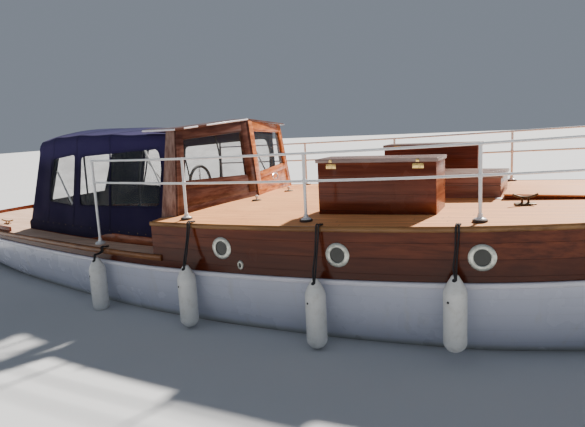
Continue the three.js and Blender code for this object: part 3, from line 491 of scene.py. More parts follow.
def piece(bm, name, finishes, replaces=(), body="root", sharp=32.0):
    """Makes the mesh an object of the model, in finishes of the palette, riding on a body."""
    bmesh.ops.remove_doubles(bm, verts=bm.verts, dist=WELD)
    for face in bm.faces:
        face.smooth = True
    for edge in bm.edges:
        edge.smooth = edge.calc_face_angle(0.0) < math.radians(sharp)
    made = linked(name, mesh_of(name, bm))
    for finish in finishes:
        made.data.materials.append(palette()[finish])
    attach(made, body)
    if replaces:
        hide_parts(*replaces)
    return made


def node_piece(node, name, finish, radius, segments=2, angle=30.0, body="root"):
    """A piece that is one node's solid with its sharp edges rounded."""
    bm = bmesh.new()
    node_shape(bm, node, radius, segments, angle=angle)
    piece(bm, name, [finish], [node], body)


def dress(node, finish):
    """Gives a CAD node that stays in sight its finish."""
    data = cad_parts[node].data
    data.materials.clear()
    data.materials.append(palette()[finish])


def cut(bm, cutters):
    """Takes closed shapes out of a closed mesh; their faces keep their own material index."""
    holder = linked("cut", mesh_of("cut", bm))
    tools = []
    for cutter in cutters:
        outward(cutter)
        tool = linked("tool", mesh_of("tool", cutter))
        boolean = holder.modifiers.new("cut", "BOOLEAN")
        boolean.operation = "DIFFERENCE"
        boolean.solver = "EXACT"
        boolean.object = tool
        tools.append(tool)
    left = bpy.data.meshes.new_from_object(holder.evaluated_get(bpy.context.evaluated_depsgraph_get()))
    made = bmesh.new()
    made.from_mesh(left)
    for old in [holder, *tools]:
        mesh = old.data
        bpy.data.objects.remove(old)
        bpy.data.meshes.remove(mesh)
    bpy.data.meshes.remove(left)
    return made


def carved(rows, cutters):
    """A closed solid through some sections, with the cutters taken out of it."""
    bm = loft(bmesh.new(), rows, True)
    outward(bm)
    return cut(bm, cutters)


def solid_box(low, high, material=1):
    made = bmesh.new()
    block(made, low, high, radius=0, material=material)
    return made


def well_cutter(low=0.1):
    """The cockpit well, drawn in from the coaming."""
    xs = spaced(COAMING_AFT + COAMING_THICK, BREAK_X - SEAT, 0.15)
    half = [(x, coaming_half(x) - COAMING_THICK) for x in xs]
    made = bmesh.new()
    plate(made, [(x, -y) for x, y in half] + half[::-1], low, 1.3, radius=0, material=1)
    return made


# Shader tools
class Field:
    """A socket of a shader, with arithmetic."""

    def __init__(self, shade, socket):
        self.shade = shade
        self.socket = socket

    def math(self, operation, *others):
        return self.shade.add("ShaderNodeMath", {"operation": operation}, [self, *others])

    def __add__(self, other):
        return self.math("ADD", other)

    __radd__ = __add__

    def __sub__(self, other):
        return self.math("SUBTRACT", other)

    def __rsub__(self, other):
        return self.shade.add("ShaderNodeMath", {"operation": "SUBTRACT"}, [other, self])

    def __mul__(self, other):
        return self.math("MULTIPLY", other)

    __rmul__ = __mul__

    def __truediv__(self, other):
        return self.math("DIVIDE", other)

    def __abs__(self):
        return self.math("ABSOLUTE")


class Shade:
    """A material under construction."""

    def __init__(self, name):
        self.material = bpy.data.materials.new(name)
        self.material.use_nodes = True
        self.tree = self.material.node_tree
        self.tree.nodes.clear()
        self.object_place = None

    def add(self, kind, settings=None, inputs=None, out=0):
        """Adds a node: its settings first, then its sockets, by number or by name."""
        node = self.tree.nodes.new(kind)
        for key, value in (settings or {}).items():
            setattr(node, key, value)
        pairs = inputs.items() if isinstance(inputs, dict) else enumerate(inputs or [])
        for key, value in pairs:
            socket = node.inputs[key]
            if isinstance(value, Field):
                self.tree.links.new(value.socket, socket)
            elif value is not None:
                socket.default_value = self.fitted(socket, value)
        return Field(self, node.outputs[out]) if node.outputs else node

    @staticmethod
    def fitted(socket, value):
        if socket.type == "RGBA" and len(value) == 3:
            return (*value, 1.0)
        return value

    def place(self):
        if self.object_place is None:
            self.object_place = self.add("ShaderNodeTexCoord", out="Object")
        return self.object_place

    def xyz(self):
        return [self.add("ShaderNodeSeparateXYZ", None, [self.place()], out=i) for i in range(3)]

    def scaled(self, scale):
        return self.add("ShaderNodeVectorMath", {"operation": "MULTIPLY"}, [self.place(), scale])

    def noise(self, vector, scale, detail=2.0, rough=0.5):
        inputs = {"Vector": vector, "Scale": scale, "Detail": detail, "Roughness": rough}
        return self.add("ShaderNodeTexNoise", None, inputs, out="Fac")

    def random(self, value):
        """One number for each whole value."""
        settings = {"noise_dimensions": "1D"}
        return self.add("ShaderNodeTexWhiteNoise", settings, {"W": value.math("FLOOR")}, out="Value")

    def span(self, value, low, high, start=0.0, end=1.0):
        """Maps low to start and high to end, smoothly, and holds the ends."""
        settings = {"interpolation_type": "SMOOTHSTEP"}
        inputs = {"Value": value, "From Min": low, "From Max": high, "To Min": start, "To Max": end}
        return self.add("ShaderNodeMapRange", settings, inputs, out="Result")

    def mix(self, factor, a, b):
        return self.add("ShaderNodeMix", {"data_type": "RGBA"}, {0: factor, 6: a, 7: b}, out=2)

    def bump(self, height, distance):
        inputs = {"Strength": 1.0, "Distance": distance, "Height": height}
        return self.add("ShaderNodeBump", None, inputs)

    def surface(self, **sockets):
        """The closing shader; a socket's name has underscores for its spaces."""
        named = {key.replace("_", " ").replace("Ior", "IOR"): value for key, value in sockets.items()}
        shader = self.add("ShaderNodeBsdfPrincipled", None, named)
        self.add("ShaderNodeOutputMaterial", None, [shader])
        return self.material


def shaded(tone, *shares):
    """A colour with its channels scaled, by one share or by three, and held at white."""
    return tuple(min(1.0, c * k) for c, k in zip(tone, shares * (3 // len(shares))))


GRAIN = 26.0  # grain lines in a metre, across the grain
HULL_PLANK = 0.135
LOCKER_PLANK = 0.155


def grain_scale(along, fine):
    """Stretches a grain along one axis."""
    return tuple(fine * (0.045 if axis == along else 1.0) for axis in "XYZ")


def seams(shade, rows, width):
    """A line at each whole row, as wide as the given share of a row."""
    near = abs(rows.math("FRACT") - 0.5)
    return shade.span(near, 0.5 - width, 0.5 - width * 0.4)


def sheer_rows(plank):
    """Rows of planks that follow the raised deck's edge."""
    def rows(s):
        x, _, z = s.xyz()
        forward = x - SHEER["x"]
        edge = SHEER["z"] + forward * SHEER["slope"] + forward * forward * SHEER["curve"]
        return (edge - z) / plank
    return rows


def varnished(name, tone, along="X", rows=None, coat=0.13, wear=0.30, seam=0.03, low=None):
    """Varnished mahogany: grain along one axis, a tone for each plank, worn patches, thin seams.

    low gives the heights between which the wood turns darker downwards: a painted reflection of the dark
    surroundings on the lower planks."""
    s = Shade(name)
    grain = s.noise(s.scaled(grain_scale(along, GRAIN)), 1.0, 5.0, 0.62)
    figure = s.noise(s.scaled(grain_scale(along, GRAIN * 0.22)), 1.0, 3.0, 0.5)
    patch = s.noise(s.place(), 2.1, 3.0, 0.55)
    dark = shaded(tone, 0.50, 0.42, 0.42)
    light = shaded(tone, 1.30, 1.42, 1.45)
    colour = s.mix(s.span(grain, 0.30, 0.72), dark, light)
    colour = s.mix(s.span(figure, 0.35, 0.70) * 0.35, colour, tone)
    height = grain * 0.12
    rough = s.span(patch, 0.25, 0.75, 0.14, 0.14 + wear * 0.5)
    if rows is not None:
        row = rows(s)
        each = s.random(row)
        colour = s.mix(s.span(each, 0.0, 1.0, 0.0, 0.42), colour, dark)
        line = seams(s, row, seam)
        colour = s.mix(line * 0.75, colour, shaded(tone, 0.22))
        height = height + (1 - line) * 0.9
    faded = shaded(tone, 1.45, 1.60, 1.60)
    colour = s.mix(s.span(patch, 0.56, 0.80) * wear, colour, faded)
    # Painted reflection: the lower planks turn darker and bluer, standing in for the dark surroundings they
    # reflect.
    if low is not None:
        z = s.xyz()[2] + (patch - 0.5) * 0.12
        colour = s.mix(s.span(z, *low, 0.72, 0.0), colour, shaded(tone, 0.34, 0.36, 0.50))
    return s.surface(Base_Color=colour, Roughness=rough, Normal=s.bump(height, 0.0012), Coat_Weight=coat,
                     Coat_Roughness=0.10, Ior=1.5, Specular_Ior_Level=0.14)


def planked_deck(name, tone, plank=0.055, seam=0.07, grime=0.35):
    """Bare laid planks with caulked seams that run fore and aft."""
    s = Shade(name)
    x, y = s.xyz()[:2]
    row = y / plank
    each = s.random(row)
    line = seams(s, row, seam)
    butt = seams(s, (x + each * 3.1) / 1.9, 0.0016)
    grain = s.noise(s.scaled((1.4, 46.0, 46.0)), 1.0, 5.0, 0.6)
    patch = s.noise(s.place(), 1.3, 4.0, 0.6)
    light = shaded(tone, 1.12)
    dark = shaded(tone, 0.74, 0.66, 0.58)
    colour = s.mix(s.span(grain, 0.32, 0.70), dark, light)
    colour = s.mix(s.span(each, 0.0, 1.0, 0.0, 0.30), colour, dark)
    colour = s.mix(s.span(patch, 0.45, 0.75) * grime, colour, shaded(tone, 0.72))
    gap = line.math("MAXIMUM", butt)
    colour = s.mix(gap * 0.62, colour, (0.09, 0.06, 0.045))
    height = grain * 0.2 + (1 - gap) * 0.8
    rough = s.span(grain, 0.3, 0.7, 0.62, 0.82)
    return s.surface(Base_Color=colour, Roughness=rough, Normal=s.bump(height, 0.0014))


def hull_paint(name, white, below):
    """Gloss white over planking, bottom paint under the waterline with a stained edge between them."""
    s = Shade(name)
    x, _, z = s.xyz()
    top = x * STRAKE_LINE["slope"] + x * x * STRAKE_LINE["curve"] + STRAKE_LINE["z"]
    row = (top - z) / HULL_PLANK
    line = seams(s, row, 0.022)
    patch = s.noise(s.place(), 1.7, 4.0, 0.6)
    streak = s.noise(s.scaled((9.0, 9.0, 0.9)), 1.0, 3.0, 0.55)
    colour = s.mix(s.span(patch, 0.40, 0.78) * 0.22, white, shaded(white, 0.80, 0.80, 0.76))
    colour = s.mix(s.span(streak, 0.56, 0.80) * 0.30, colour, (0.52, 0.50, 0.42))
    colour = s.mix(line * 0.18, colour, (0.35, 0.36, 0.36))
    stain = s.span(z + patch * 0.05, 0.035, 0.11, 1.0, 0.0)
    colour = s.mix(stain * 0.55, colour, (0.33, 0.33, 0.22))
    bottom = s.span(z + patch * 0.02, 0.006, 0.016, 1.0, 0.0)
    colour = s.mix(bottom, colour, s.mix(s.span(patch, 0.35, 0.7), below, shaded(below, 0.6)))
    rough = s.span(patch, 0.3, 0.8, 0.20, 0.38) + bottom * 0.4
    height = (1 - line) * 0.5 + patch * 0.6
    return s.surface(Base_Color=colour, Roughness=rough, Normal=s.bump(height, 0.0012), Coat_Weight=0.25,
                     Coat_Roughness=0.15)


def painted(name, tone, rough=0.32, dirt=0.25, metallic=0.0, scale=9.0, coat=0.3):
    """Paint or plastic with a little unevenness and grime."""
    s = Shade(name)
    patch = s.noise(s.place(), scale, 4.0, 0.6)
    fleck = s.noise(s.place(), scale * 9.0, 2.0, 0.5)
    colour = s.mix(s.span(patch, 0.45, 0.78) * dirt, tone, shaded(tone, 0.62, 0.60, 0.52))
    colour = s.mix(s.span(fleck, 0.66, 0.80) * dirt, colour, shaded(tone, 0.45))
    gloss = s.span(patch, 0.3, 0.8, rough, min(1.0, rough + 0.22))
    return s.surface(Base_Color=colour, Roughness=gloss, Normal=s.bump(fleck + patch, 0.0003),
                     Metallic=metallic, Coat_Weight=coat, Coat_Roughness=0.2)


def cast_metal(name, tone, rough=0.25, tarnish=0.4, scale=28.0):
    """Metal with tarnish in patches and fine scratches."""
    s = Shade(name)
    patch = s.noise(s.place(), scale, 4.0, 0.62)
    scratch = s.noise(s.scaled((260.0, 20.0, 260.0)), 1.0, 2.0, 0.5)
    colour = s.mix(s.span(patch, 0.42, 0.74) * tarnish, tone, shaded(tone, 0.42, 0.44, 0.42))
    gloss = s.span(patch, 0.3, 0.75, rough, rough + 0.30)
    return s.surface(Base_Color=colour, Roughness=gloss, Metallic=1.0,
                     Normal=s.bump(scratch * 0.4 + patch, 0.0003))


def canvas_cloth(name, tone):
    """Woven canvas with painted light: a lighter band high on the sides, where they face the sky, and a bluer
    tone on the sunlit roof.
    """
    s = Shade(name)
    x, y, z = s.xyz()
    warp = abs(s.span((x * 520.0).math("SINE"), -1.0, 1.0) - 0.5)
    weft = abs(s.span(((y + z) * 520.0).math("SINE"), -1.0, 1.0) - 0.5)
    patch = s.noise(s.place(), 2.6, 4.0, 0.6)
    fleck = s.noise(s.place(), 90.0, 2.0, 0.6)
    # Above this height the cloth takes the bluer tone named faded, which is painted sunlight on the roof;
    # fine flecks of it are scattered over the whole cloth.
    top = s.span(z, 1.82, 1.92)
    faded = shaded(tone, 0.42, 0.75, 1.25)
    # A lighter band high on the sides, where they face the sky more: painted light.
    painted_sky_band = shaded(tone, 2.3, 2.6, 2.3)
    colour = s.mix(s.span(patch, 0.35, 0.75) * 0.35, tone, shaded(tone, 0.62))
    colour = s.mix(s.span(z, 1.45, 1.68) * 0.8, colour, painted_sky_band)
    colour = s.mix(top * 0.90, colour, faded)
    colour = s.mix(s.span(fleck, 0.45, 0.75) * 0.12, colour, faded)
    low = s.span(z, 0.74, 0.90, 1.0, 0.0)
    colour = s.mix(low * 0.25, colour, (0.022, 0.020, 0.020))
    height = warp + weft + fleck * 0.7
    rough = s.span(patch, 0.3, 0.7, 0.82, 0.95)
    return s.surface(Base_Color=colour, Roughness=rough, Normal=s.bump(height, 0.0006),
                     Sheen_Weight=0.02, Sheen_Roughness=0.5, Specular_Ior_Level=0.18)


def clear_sheet(name, tone, alpha, rough, haze):
    """Clear sheet or glass with smears."""
    s = Shade(name)
    smear = s.noise(s.scaled((2.0, 2.0, 7.0)), 1.0, 4.0, 0.6)
    wave = s.noise(s.place(), 3.4, 1.0, 0.4)
    cover = s.span(smear, 0.35, 0.80, alpha, alpha + haze)
    gloss = s.span(smear, 0.35, 0.8, rough, rough + 0.14)
    return s.surface(Base_Color=s.mix(smear, tone, shaded(tone, 0.85)), Roughness=gloss, Alpha=cover,
                     Normal=s.bump(wave, 0.010), Ior=1.45, Specular_Ior_Level=0.4)


def roped(name, tone, lay=0.012):
    """Laid rope seen close: strands that wind round it, with painted shade in the grooves between them, and
    loose fibres.
    """
    s = Shade(name)
    x, y, z = s.xyz()
    turn = ((x + y * 0.7 + z * 1.4) * (2 * math.pi / lay)).math("SINE")
    fibre = s.noise(s.place(), 420.0, 2.0, 0.7)
    # Darker between the strands: painted shade in the grooves.
    colour = s.mix(s.span(turn, -1.0, 0.4), shaded(tone, 0.35), tone)
    colour = s.mix(s.span(fibre, 0.4, 0.7) * 0.4, colour, shaded(tone, 1.5))
    return s.surface(Base_Color=colour, Roughness=s.span(fibre, 0.3, 0.7, 0.75, 0.95),
                     Normal=s.bump(turn + fibre * 0.4, 0.0012))


def board_rows(axis, plank):
    """Straight boards, stacked along one axis."""
    return lambda s: s.xyz()["XYZ".index(axis)] / plank


# What a user would change
class CruiserColours(bpy.types.PropertyGroup):
    """Colours of the boat's finishes."""

    mahogany: FloatVectorProperty(name="Mahogany", description="Varnished wood of the topsides and lockers",
                                  default=(0.160, 0.032, 0.010), subtype="COLOR", min=0, max=1)
    # The default is the windscreen wood as it looks in shade: painted shade.
    screen_wood: FloatVectorProperty(name="Screen wood",
                                     description="Lighter varnished wood of the windscreen",
                                     default=(0.115, 0.051, 0.037), subtype="COLOR", min=0, max=1)
    # The default is paler than the screen wood: painted grazing sunlight on the forward-facing wings.
    wing_wood_painted_sunlit: FloatVectorProperty(name="Wing wood", description="Weathered wood of the windscreen's wings",
                                   default=(0.265, 0.165, 0.135), subtype="COLOR", min=0, max=1)
    golden: FloatVectorProperty(name="Golden trim", description="Varnished mouldings along the deck edge",
                                default=(0.255, 0.125, 0.050), subtype="COLOR", min=0, max=1)
    deck: FloatVectorProperty(name="Deck", description="Bare laid planks", default=(0.95, 0.43, 0.17),
                              subtype="COLOR", min=0, max=1)
    aft_deck: FloatVectorProperty(name="Aft deck", description="Laid planks of the aft side decks",
                                  default=(0.80, 0.560, 0.42), subtype="COLOR", min=0, max=1)
    # The default is greyer and bluer than white paint: painted sky shade, matched to the side that lies in
    # shade.
    hull: FloatVectorProperty(name="Hull", description="Gloss paint above the waterline",
                              default=(0.60, 0.62, 0.72), subtype="COLOR", min=0, max=1)
    bottom: FloatVectorProperty(name="Bottom", description="Paint below the waterline",
                                default=(0.20, 0.045, 0.03), subtype="COLOR", min=0, max=1)
    canvas: FloatVectorProperty(name="Canvas", description="Canopy cloth", default=(0.0150, 0.0095, 0.042),
                                subtype="COLOR", min=0, max=1)


class CruiserSizes(bpy.types.PropertyGroup):
    """Sizes of what is finished here."""

    plank: FloatProperty(name="Topside plank", description="Width of one plank of the topsides",
                         default=0.128, unit="LENGTH", min=0.02)
    deck_plank: FloatProperty(name="Deck plank", description="Width of one laid deck plank",
                              default=0.055, unit="LENGTH", min=0.02)
    porthole: FloatProperty(name="Porthole", description="Outer diameter of a porthole's ring",
                            default=0.207, unit="LENGTH", min=0.05)
    porthole_glass: FloatProperty(name="Porthole glass", description="Diameter of a porthole's clear glass",
                                  default=0.128, unit="LENGTH", min=0.03)
    sag: FloatProperty(name="Canvas sag", description="How far the canvas draws in between its hoops",
                       default=0.018, unit="LENGTH", min=0.0)
    hull_steps: IntProperty(name="Hull steps", description="Points down one side of a hull section",
                            default=18, min=6)


class CruiserStage(bpy.types.PropertyGroup):
    """Camera, light and floor."""

    eye: FloatVectorProperty(name="Camera place", description="Where the camera stands",
                             default=(2.642, -5.617, 1.877), subtype="TRANSLATION", unit="LENGTH")
    heading: FloatProperty(name="Heading", description="Camera turned from the port beam, towards the bow",
                           default=math.radians(-27.0022), subtype="ANGLE")
    pitch: FloatProperty(name="Pitch", description="Camera tilted down", default=math.radians(9.3972),
                         subtype="ANGLE")
    roll: FloatProperty(name="Roll", description="Camera rolled to the left", default=math.radians(2.8564),
                        subtype="ANGLE")
    lens: FloatProperty(name="Lens", description="Focal length on a 36 mm sensor, in millimetres",
                        default=33.23, min=8.0)
    sun: FloatProperty(name="Key light", description="Strength of the key light", default=11.5, min=0.0)
    sun_height: FloatProperty(name="Key height", description="Height of the key light above the horizon",
                              default=math.radians(40.0), subtype="ANGLE")
    sun_forward: FloatProperty(name="Key forward",
                               description="Key light's turn from the port beam to the bow",
                               default=math.radians(15.0), subtype="ANGLE")
    sky: FloatProperty(name="Fill light", description="Strength of the even light all round",
                       default=0.29, min=0.0)


PALETTE = {}


def palette():
    """Every finish, made once."""
    if PALETTE:
        return PALETTE
    c, sizes = bpy.context.scene.cruiser_colours, bpy.context.scene.cruiser_sizes
    mahogany = tuple(c.mahogany)
    boards = {"rows": board_rows("Z", LOCKER_PLANK), "seam": 0.016}
    PALETTE.update(
        # The topsides turn darker towards their foot: painted reflection, through low in varnished.
        topside=varnished("topside_planks", mahogany, "X", sheer_rows(sizes.plank), seam=0.018,
                          low=(0.62, 0.98)),
        along=varnished("mahogany_along", mahogany, **boards),
        across=varnished("mahogany_across", mahogany, "Y", **boards),
        upright=varnished("mahogany_upright", mahogany, "Z", board_rows("Y", 0.095)),
        plain=varnished("mahogany_plain", mahogany),
        box=varnished("deck_box_planks", shaded(mahogany, 1.0, 1.2, 1.7), **boards),
        # screen is the windscreen wood as it looks in shade (painted shade; the visors share it), and
        # sunny_screen is the same wood as it looks in sunlight (painted sunlight).
        screen=varnished("screen_wood", tuple(c.screen_wood), "Y", wear=0.15),
        sunny_screen=varnished("sunny_screen_wood", (0.56, 0.190, 0.064), "Y", wear=0.25),
        # The deck boxes' forward ends are the same wood as their sides, made lighter and more orange: painted
        # sunlight on the faces that meet the sun.
        box_end=varnished("box_end", (0.34, 0.125, 0.058), "Y", wear=0.5),
        locker=varnished("locker_planks", (0.36, 0.19, 0.15), **boards),
        # The wings' pale tone is painted grazing sunlight.
        wing=varnished("wing_wood_painted_sunlit", tuple(c.wing_wood_painted_sunlit), "Z", coat=0.1, wear=0.35),
        brown_trim=varnished("brown_trim", (0.21, 0.085, 0.032), coat=0.2),
        coaming=varnished("coaming_wood", (0.28, 0.085, 0.040), coat=0.08),
        golden=varnished("golden_trim", tuple(c.golden), coat=0.2),
        lid=varnished("lid_top", (0.24, 0.15, 0.12), "X", board_rows("Y", 0.120), coat=0.15, wear=0.5),
        lid_rim=varnished("lid_edge", (0.30, 0.22, 0.20), coat=0.1, wear=0.4),
        deck=planked_deck("laid_deck", tuple(c.deck), sizes.deck_plank),
        aft_deck=planked_deck("laid_aft_deck", tuple(c.aft_deck), 0.075, 0.05, 0.5),
        sole=planked_deck("laid_sole", (0.34, 0.19, 0.09), 0.07, 0.05, 0.5),
        hull=hull_paint("hull_paint", tuple(c.hull), tuple(c.bottom)),
        lining=painted("cream_lining", (0.62, 0.56, 0.43), 0.45, 0.3),
        # The white paint carries a bluish tint: painted sky shade.
        strake=painted("strake_white", (0.74, 0.73, 0.80), 0.28, 0.15),
        rail=painted("rail_white", (0.82, 0.83, 0.84), 0.26, 0.18, scale=22.0),
        chrome=cast_metal("fitting_chrome", (0.80, 0.81, 0.82), 0.10, 0.2),
        bronze=cast_metal("bronze", (0.52, 0.33, 0.13), 0.26, 0.5),
        dark_bronze=cast_metal("dark_bronze", (0.16, 0.12, 0.08), 0.45, 0.6),
        brass=cast_metal("polished_brass", (0.80, 0.55, 0.20), 0.16, 0.25),
        pale_ring=cast_metal("porthole_ring", (0.62, 0.63, 0.56), 0.34, 0.45),
        # Opaque near-black discs stand in for the dark cabin behind the portholes and the dark bore of the
        # skin fittings: painted shade.
        dark_glass=painted("dark_glass", (0.012, 0.016, 0.013), 0.12, 0.1, coat=0.0),
        iron=painted("engine_enamel", (0.10, 0.15, 0.13), 0.5, 0.5, metallic=0.2),
        pad=painted("rail_pad", (0.055, 0.040, 0.034), 0.6, 0.4, coat=0.0),
        sleeve=painted("hoop_sleeve", (0.012, 0.012, 0.020), 0.8, 0.2, coat=0.0),
        rubber=painted("black_rubber", (0.018, 0.018, 0.020), 0.55, 0.3, coat=0.0),
        dial=painted("dial_face", (0.02, 0.02, 0.02), 0.4, 0.1),
        canvas=canvas_cloth("navy_canvas", tuple(c.canvas)),
        tape=canvas_cloth("navy_tape", shaded(c.canvas, 0.8)),
        pane=clear_sheet("flexible_pane", (0.10, 0.11, 0.12), 0.14, 0.05, 0.10),
        glass=clear_sheet("window_glass", (0.14, 0.16, 0.17), 0.12, 0.02, 0.08),
        fender=painted("fender_skin", (0.80, 0.80, 0.77), 0.38, 0.4, scale=14.0, coat=0.1),
        black_line=roped("black_line", (0.035, 0.033, 0.036)),
    )
    return PALETTE


class PieceMaker:
    """What every operator of the sidebar shares."""

    bl_options = {"REGISTER"}


# Hull
def hull_ring(x, steps):
    """One closed section from the starboard strake round the bottom to the port one."""
    top = hull_top(x)
    bottom = read(STATIONS, BOTTOM, x)
    narrow = min(KEEL_HALF, strake_half(x))
    points = []
    for i in range(steps + 1):
        angle = i / steps * math.pi / 2
        depth = math.sin(angle) ** (2 / read(STATIONS, FULL_SIDES, x))
        wide = max(0.0, math.cos(angle)) ** (2 / read(STATIONS, FULL_FLOORS, x))
        z = top - depth * (top - bottom)
        points.append(Vector((x - stem_shift(x, z), narrow + (strake_half(x) - narrow) * wide, z)))
    return [Vector((p.x, -p.y, p.z)) for p in points] + points[::-1]


def companion_cutter():
    low = (BREAK_X - 0.005, -COMPANION["half"], COMPANION["low"])
    return solid_box(low, (BREAK_X + COMPANION["deep"], COMPANION["half"], COMPANION["high"]))


def hatch_cutter():
    inner = HATCH["half"] - HATCH["wall"]
    low = (HATCH["aft"] + HATCH["wall"], -inner, HATCH["floor"])
    return solid_box(low, (HATCH["fore"] - HATCH["wall"], inner, 1.3))


class CRUISER_OT_hull(PieceMaker, bpy.types.Operator):
    """Planked hull with its cockpit well, keel, stem and rudder"""

    bl_idname = "cruiser.hull"
    bl_label = "Hull"

    def execute(self, context):
        steps = context.scene.cruiser_sizes.hull_steps
        rows = [hull_ring(x, steps) for x in spaced(TRANSOM_X, STEM_X, 0.11)]
        cutters = [well_cutter(SOLE_TOP - SOLE_THICK - SEAT), solid_box(*ENGINE_BAY), companion_cutter()]
        piece(carved(rows, cutters), "hull_planking", ["hull", "lining"],
              ["hull_aft", "hull_mid", "hull_fore"])
        for node, slot in (("keel", "antifouling"), ("stem", "varnish"), ("rudder", "antifouling")):
            bm = bmesh.new()
            node_shape(bm, node, 0.006, 2, angle=40.0)
            for face in bm.faces:
                if node == "stem" and face.calc_center_median().z > hull_top(STEM_X):
                    face.material_index = 1
            body = "rudder" if node == "rudder" else "root"
            piece(bm, f"{node}_timber", ["hull", "plain"], [node], body)
        return {"FINISHED"}


def deck_arc(x, z, camber, count=16):
    """A curved line across the boat at one station, from port to starboard."""
    edge = side(x, z)
    return [Vector((edge.x, edge.y * t, z + camber * (1 - t * t)))
            for t in (1 - 2 * i / count for i in range(count + 1))]


def band_ring(x, low, high, camber, steps=7):
    """A closed section between two heights, its top curved like the deck."""
    flank = [side(x, low + (high - low) * i / steps) for i in range(steps)]
    return deck_arc(x, high, camber) + [Vector((p.x, -p.y, p.z)) for p in flank[::-1]] + flank


class CRUISER_OT_topsides(PieceMaker, bpy.types.Operator):
    """Varnished planking above the strake, forward and aft of the step in the deck"""

    bl_idname = "cruiser.topsides"
    bl_label = "Topsides"

    def execute(self, context):
        rows = [band_ring(x, hull_top(x) + SEAT, raised_edge(x) - DECK_THICK - SEAT, raised_camber(x))
                for x in spaced(BREAK_X, STEM_X, STATION_STEP)]
        piece(carved(rows, [companion_cutter(), hatch_cutter()]), "raised_planking",
              ["topside", "lining"], ["raised_topsides"])
        rows = [band_ring(x, hull_top(x) + SEAT, aft_edge(x) - DECK_THICK - SEAT, aft_camber(x), 5)
                for x in spaced(TRANSOM_X, BREAK_X - SEAT, STATION_STEP)]
        piece(carved(rows, [well_cutter()]), "aft_planking",
              ["topside", "lining"], ["aft_topsides"])
        return {"FINISHED"}


class CRUISER_OT_decks(PieceMaker, bpy.types.Operator):
    """Laid foredeck and aft deck"""

    bl_idname = "cruiser.decks"
    bl_label = "Decks"

    def execute(self, context):
        rows = [deck_arc(x, raised_edge(x), raised_camber(x), 24)
                + deck_arc(x, raised_edge(x) - DECK_THICK, raised_camber(x), 24)[::-1]
                for x in spaced(BREAK_X, STEM_X, STATION_STEP)]
        piece(carved(rows, [hatch_cutter()]), "laid_foredeck", ["deck", "along"],
              ["foredeck_aft", "foredeck_fore"])
        rows = [deck_arc(x, aft_edge(x), aft_camber(x), 24)
                + deck_arc(x, aft_edge(x) - DECK_THICK, aft_camber(x), 24)[::-1]
                for x in spaced(TRANSOM_X, BREAK_X - SEAT, STATION_STEP)]
        piece(carved(rows, [well_cutter()]), "laid_aft_deck",
              ["aft_deck", "along"], ["aft_deck"])
        return {"FINISHED"}


def side_strip(bm, start, end, low_of, high_of, out, round_share, count=10):
    """A rounded strip that runs along the side and stands out from it."""
    rows = []
    for x in spaced(start, end, 0.09):
        low, high = low_of(x), high_of(x)
        front = []
        for i in range(count + 1):
            angle = math.pi * (i / count - 0.5)
            z = (low + high) / 2 + (high - low) / 2 * math.sin(angle)
            stand = out * (1 - round_share * (1 - math.cos(angle) ** 0.6))
            front.append(side(x, z, max(stand, 0.0012)))
        back = [side(x, high, 0.001), side(x, low, 0.001)]
        rows.append([Vector((p.x, -p.y, p.z)) for p in front + back])
    loft(bm, rows, True)


class CRUISER_OT_mouldings(PieceMaker, bpy.types.Operator):
    """Rubbing strakes, deck edge mouldings and the toe rail round the stern"""

    bl_idname = "cruiser.mouldings"
    bl_label = "Strakes and Mouldings"

    def execute(self, context):
        bm = bmesh.new()
        side_strip(bm, TRANSOM_X, STEM_X, lambda x: strake_top(x) - STRAKE_TALL, strake_top, STRAKE_OUT, 0.8)
        both_sides(bm)
        piece(bm, "rubbing_strakes", ["strake"], ["strake_starboard", "strake_port"])
        bm = bmesh.new()
        side_strip(bm, BREAK_X, STEM_X, lambda x: raised_edge(x) - MOULDING_TALL,
                   lambda x: raised_edge(x) + MOULDING_PROUD, MOULDING_OUT, 0.75)
        both_sides(bm)
        piece(bm, "gunwale_mouldings", ["golden"],
              ["gunwale_moulding_starboard", "gunwale_moulding_port"])
        bm = bmesh.new()
        side_strip(bm, TRANSOM_X, BREAK_X + 0.110, lambda x: aft_edge(x) - AFT_MOULDING_TALL,
                   lambda x: aft_edge(x) + MOULDING_PROUD, MOULDING_OUT, 0.75)
        both_sides(bm)
        wide = deck_half(TRANSOM_X) + MOULDING_OUT
        edge = aft_edge(TRANSOM_X)
        block(bm, (TRANSOM_X - MOULDING_OUT, -wide, edge - AFT_MOULDING_TALL),
              (TRANSOM_X - SEAT, wide, edge + MOULDING_PROUD), 0.008, 3)
        piece(bm, "aft_mouldings", ["brown_trim"], ["aft_moulding"])
        node_piece("stern_toe_rail", "toe_rail", "plain", 0.007, 3, 50.0)
        return {"FINISHED"}


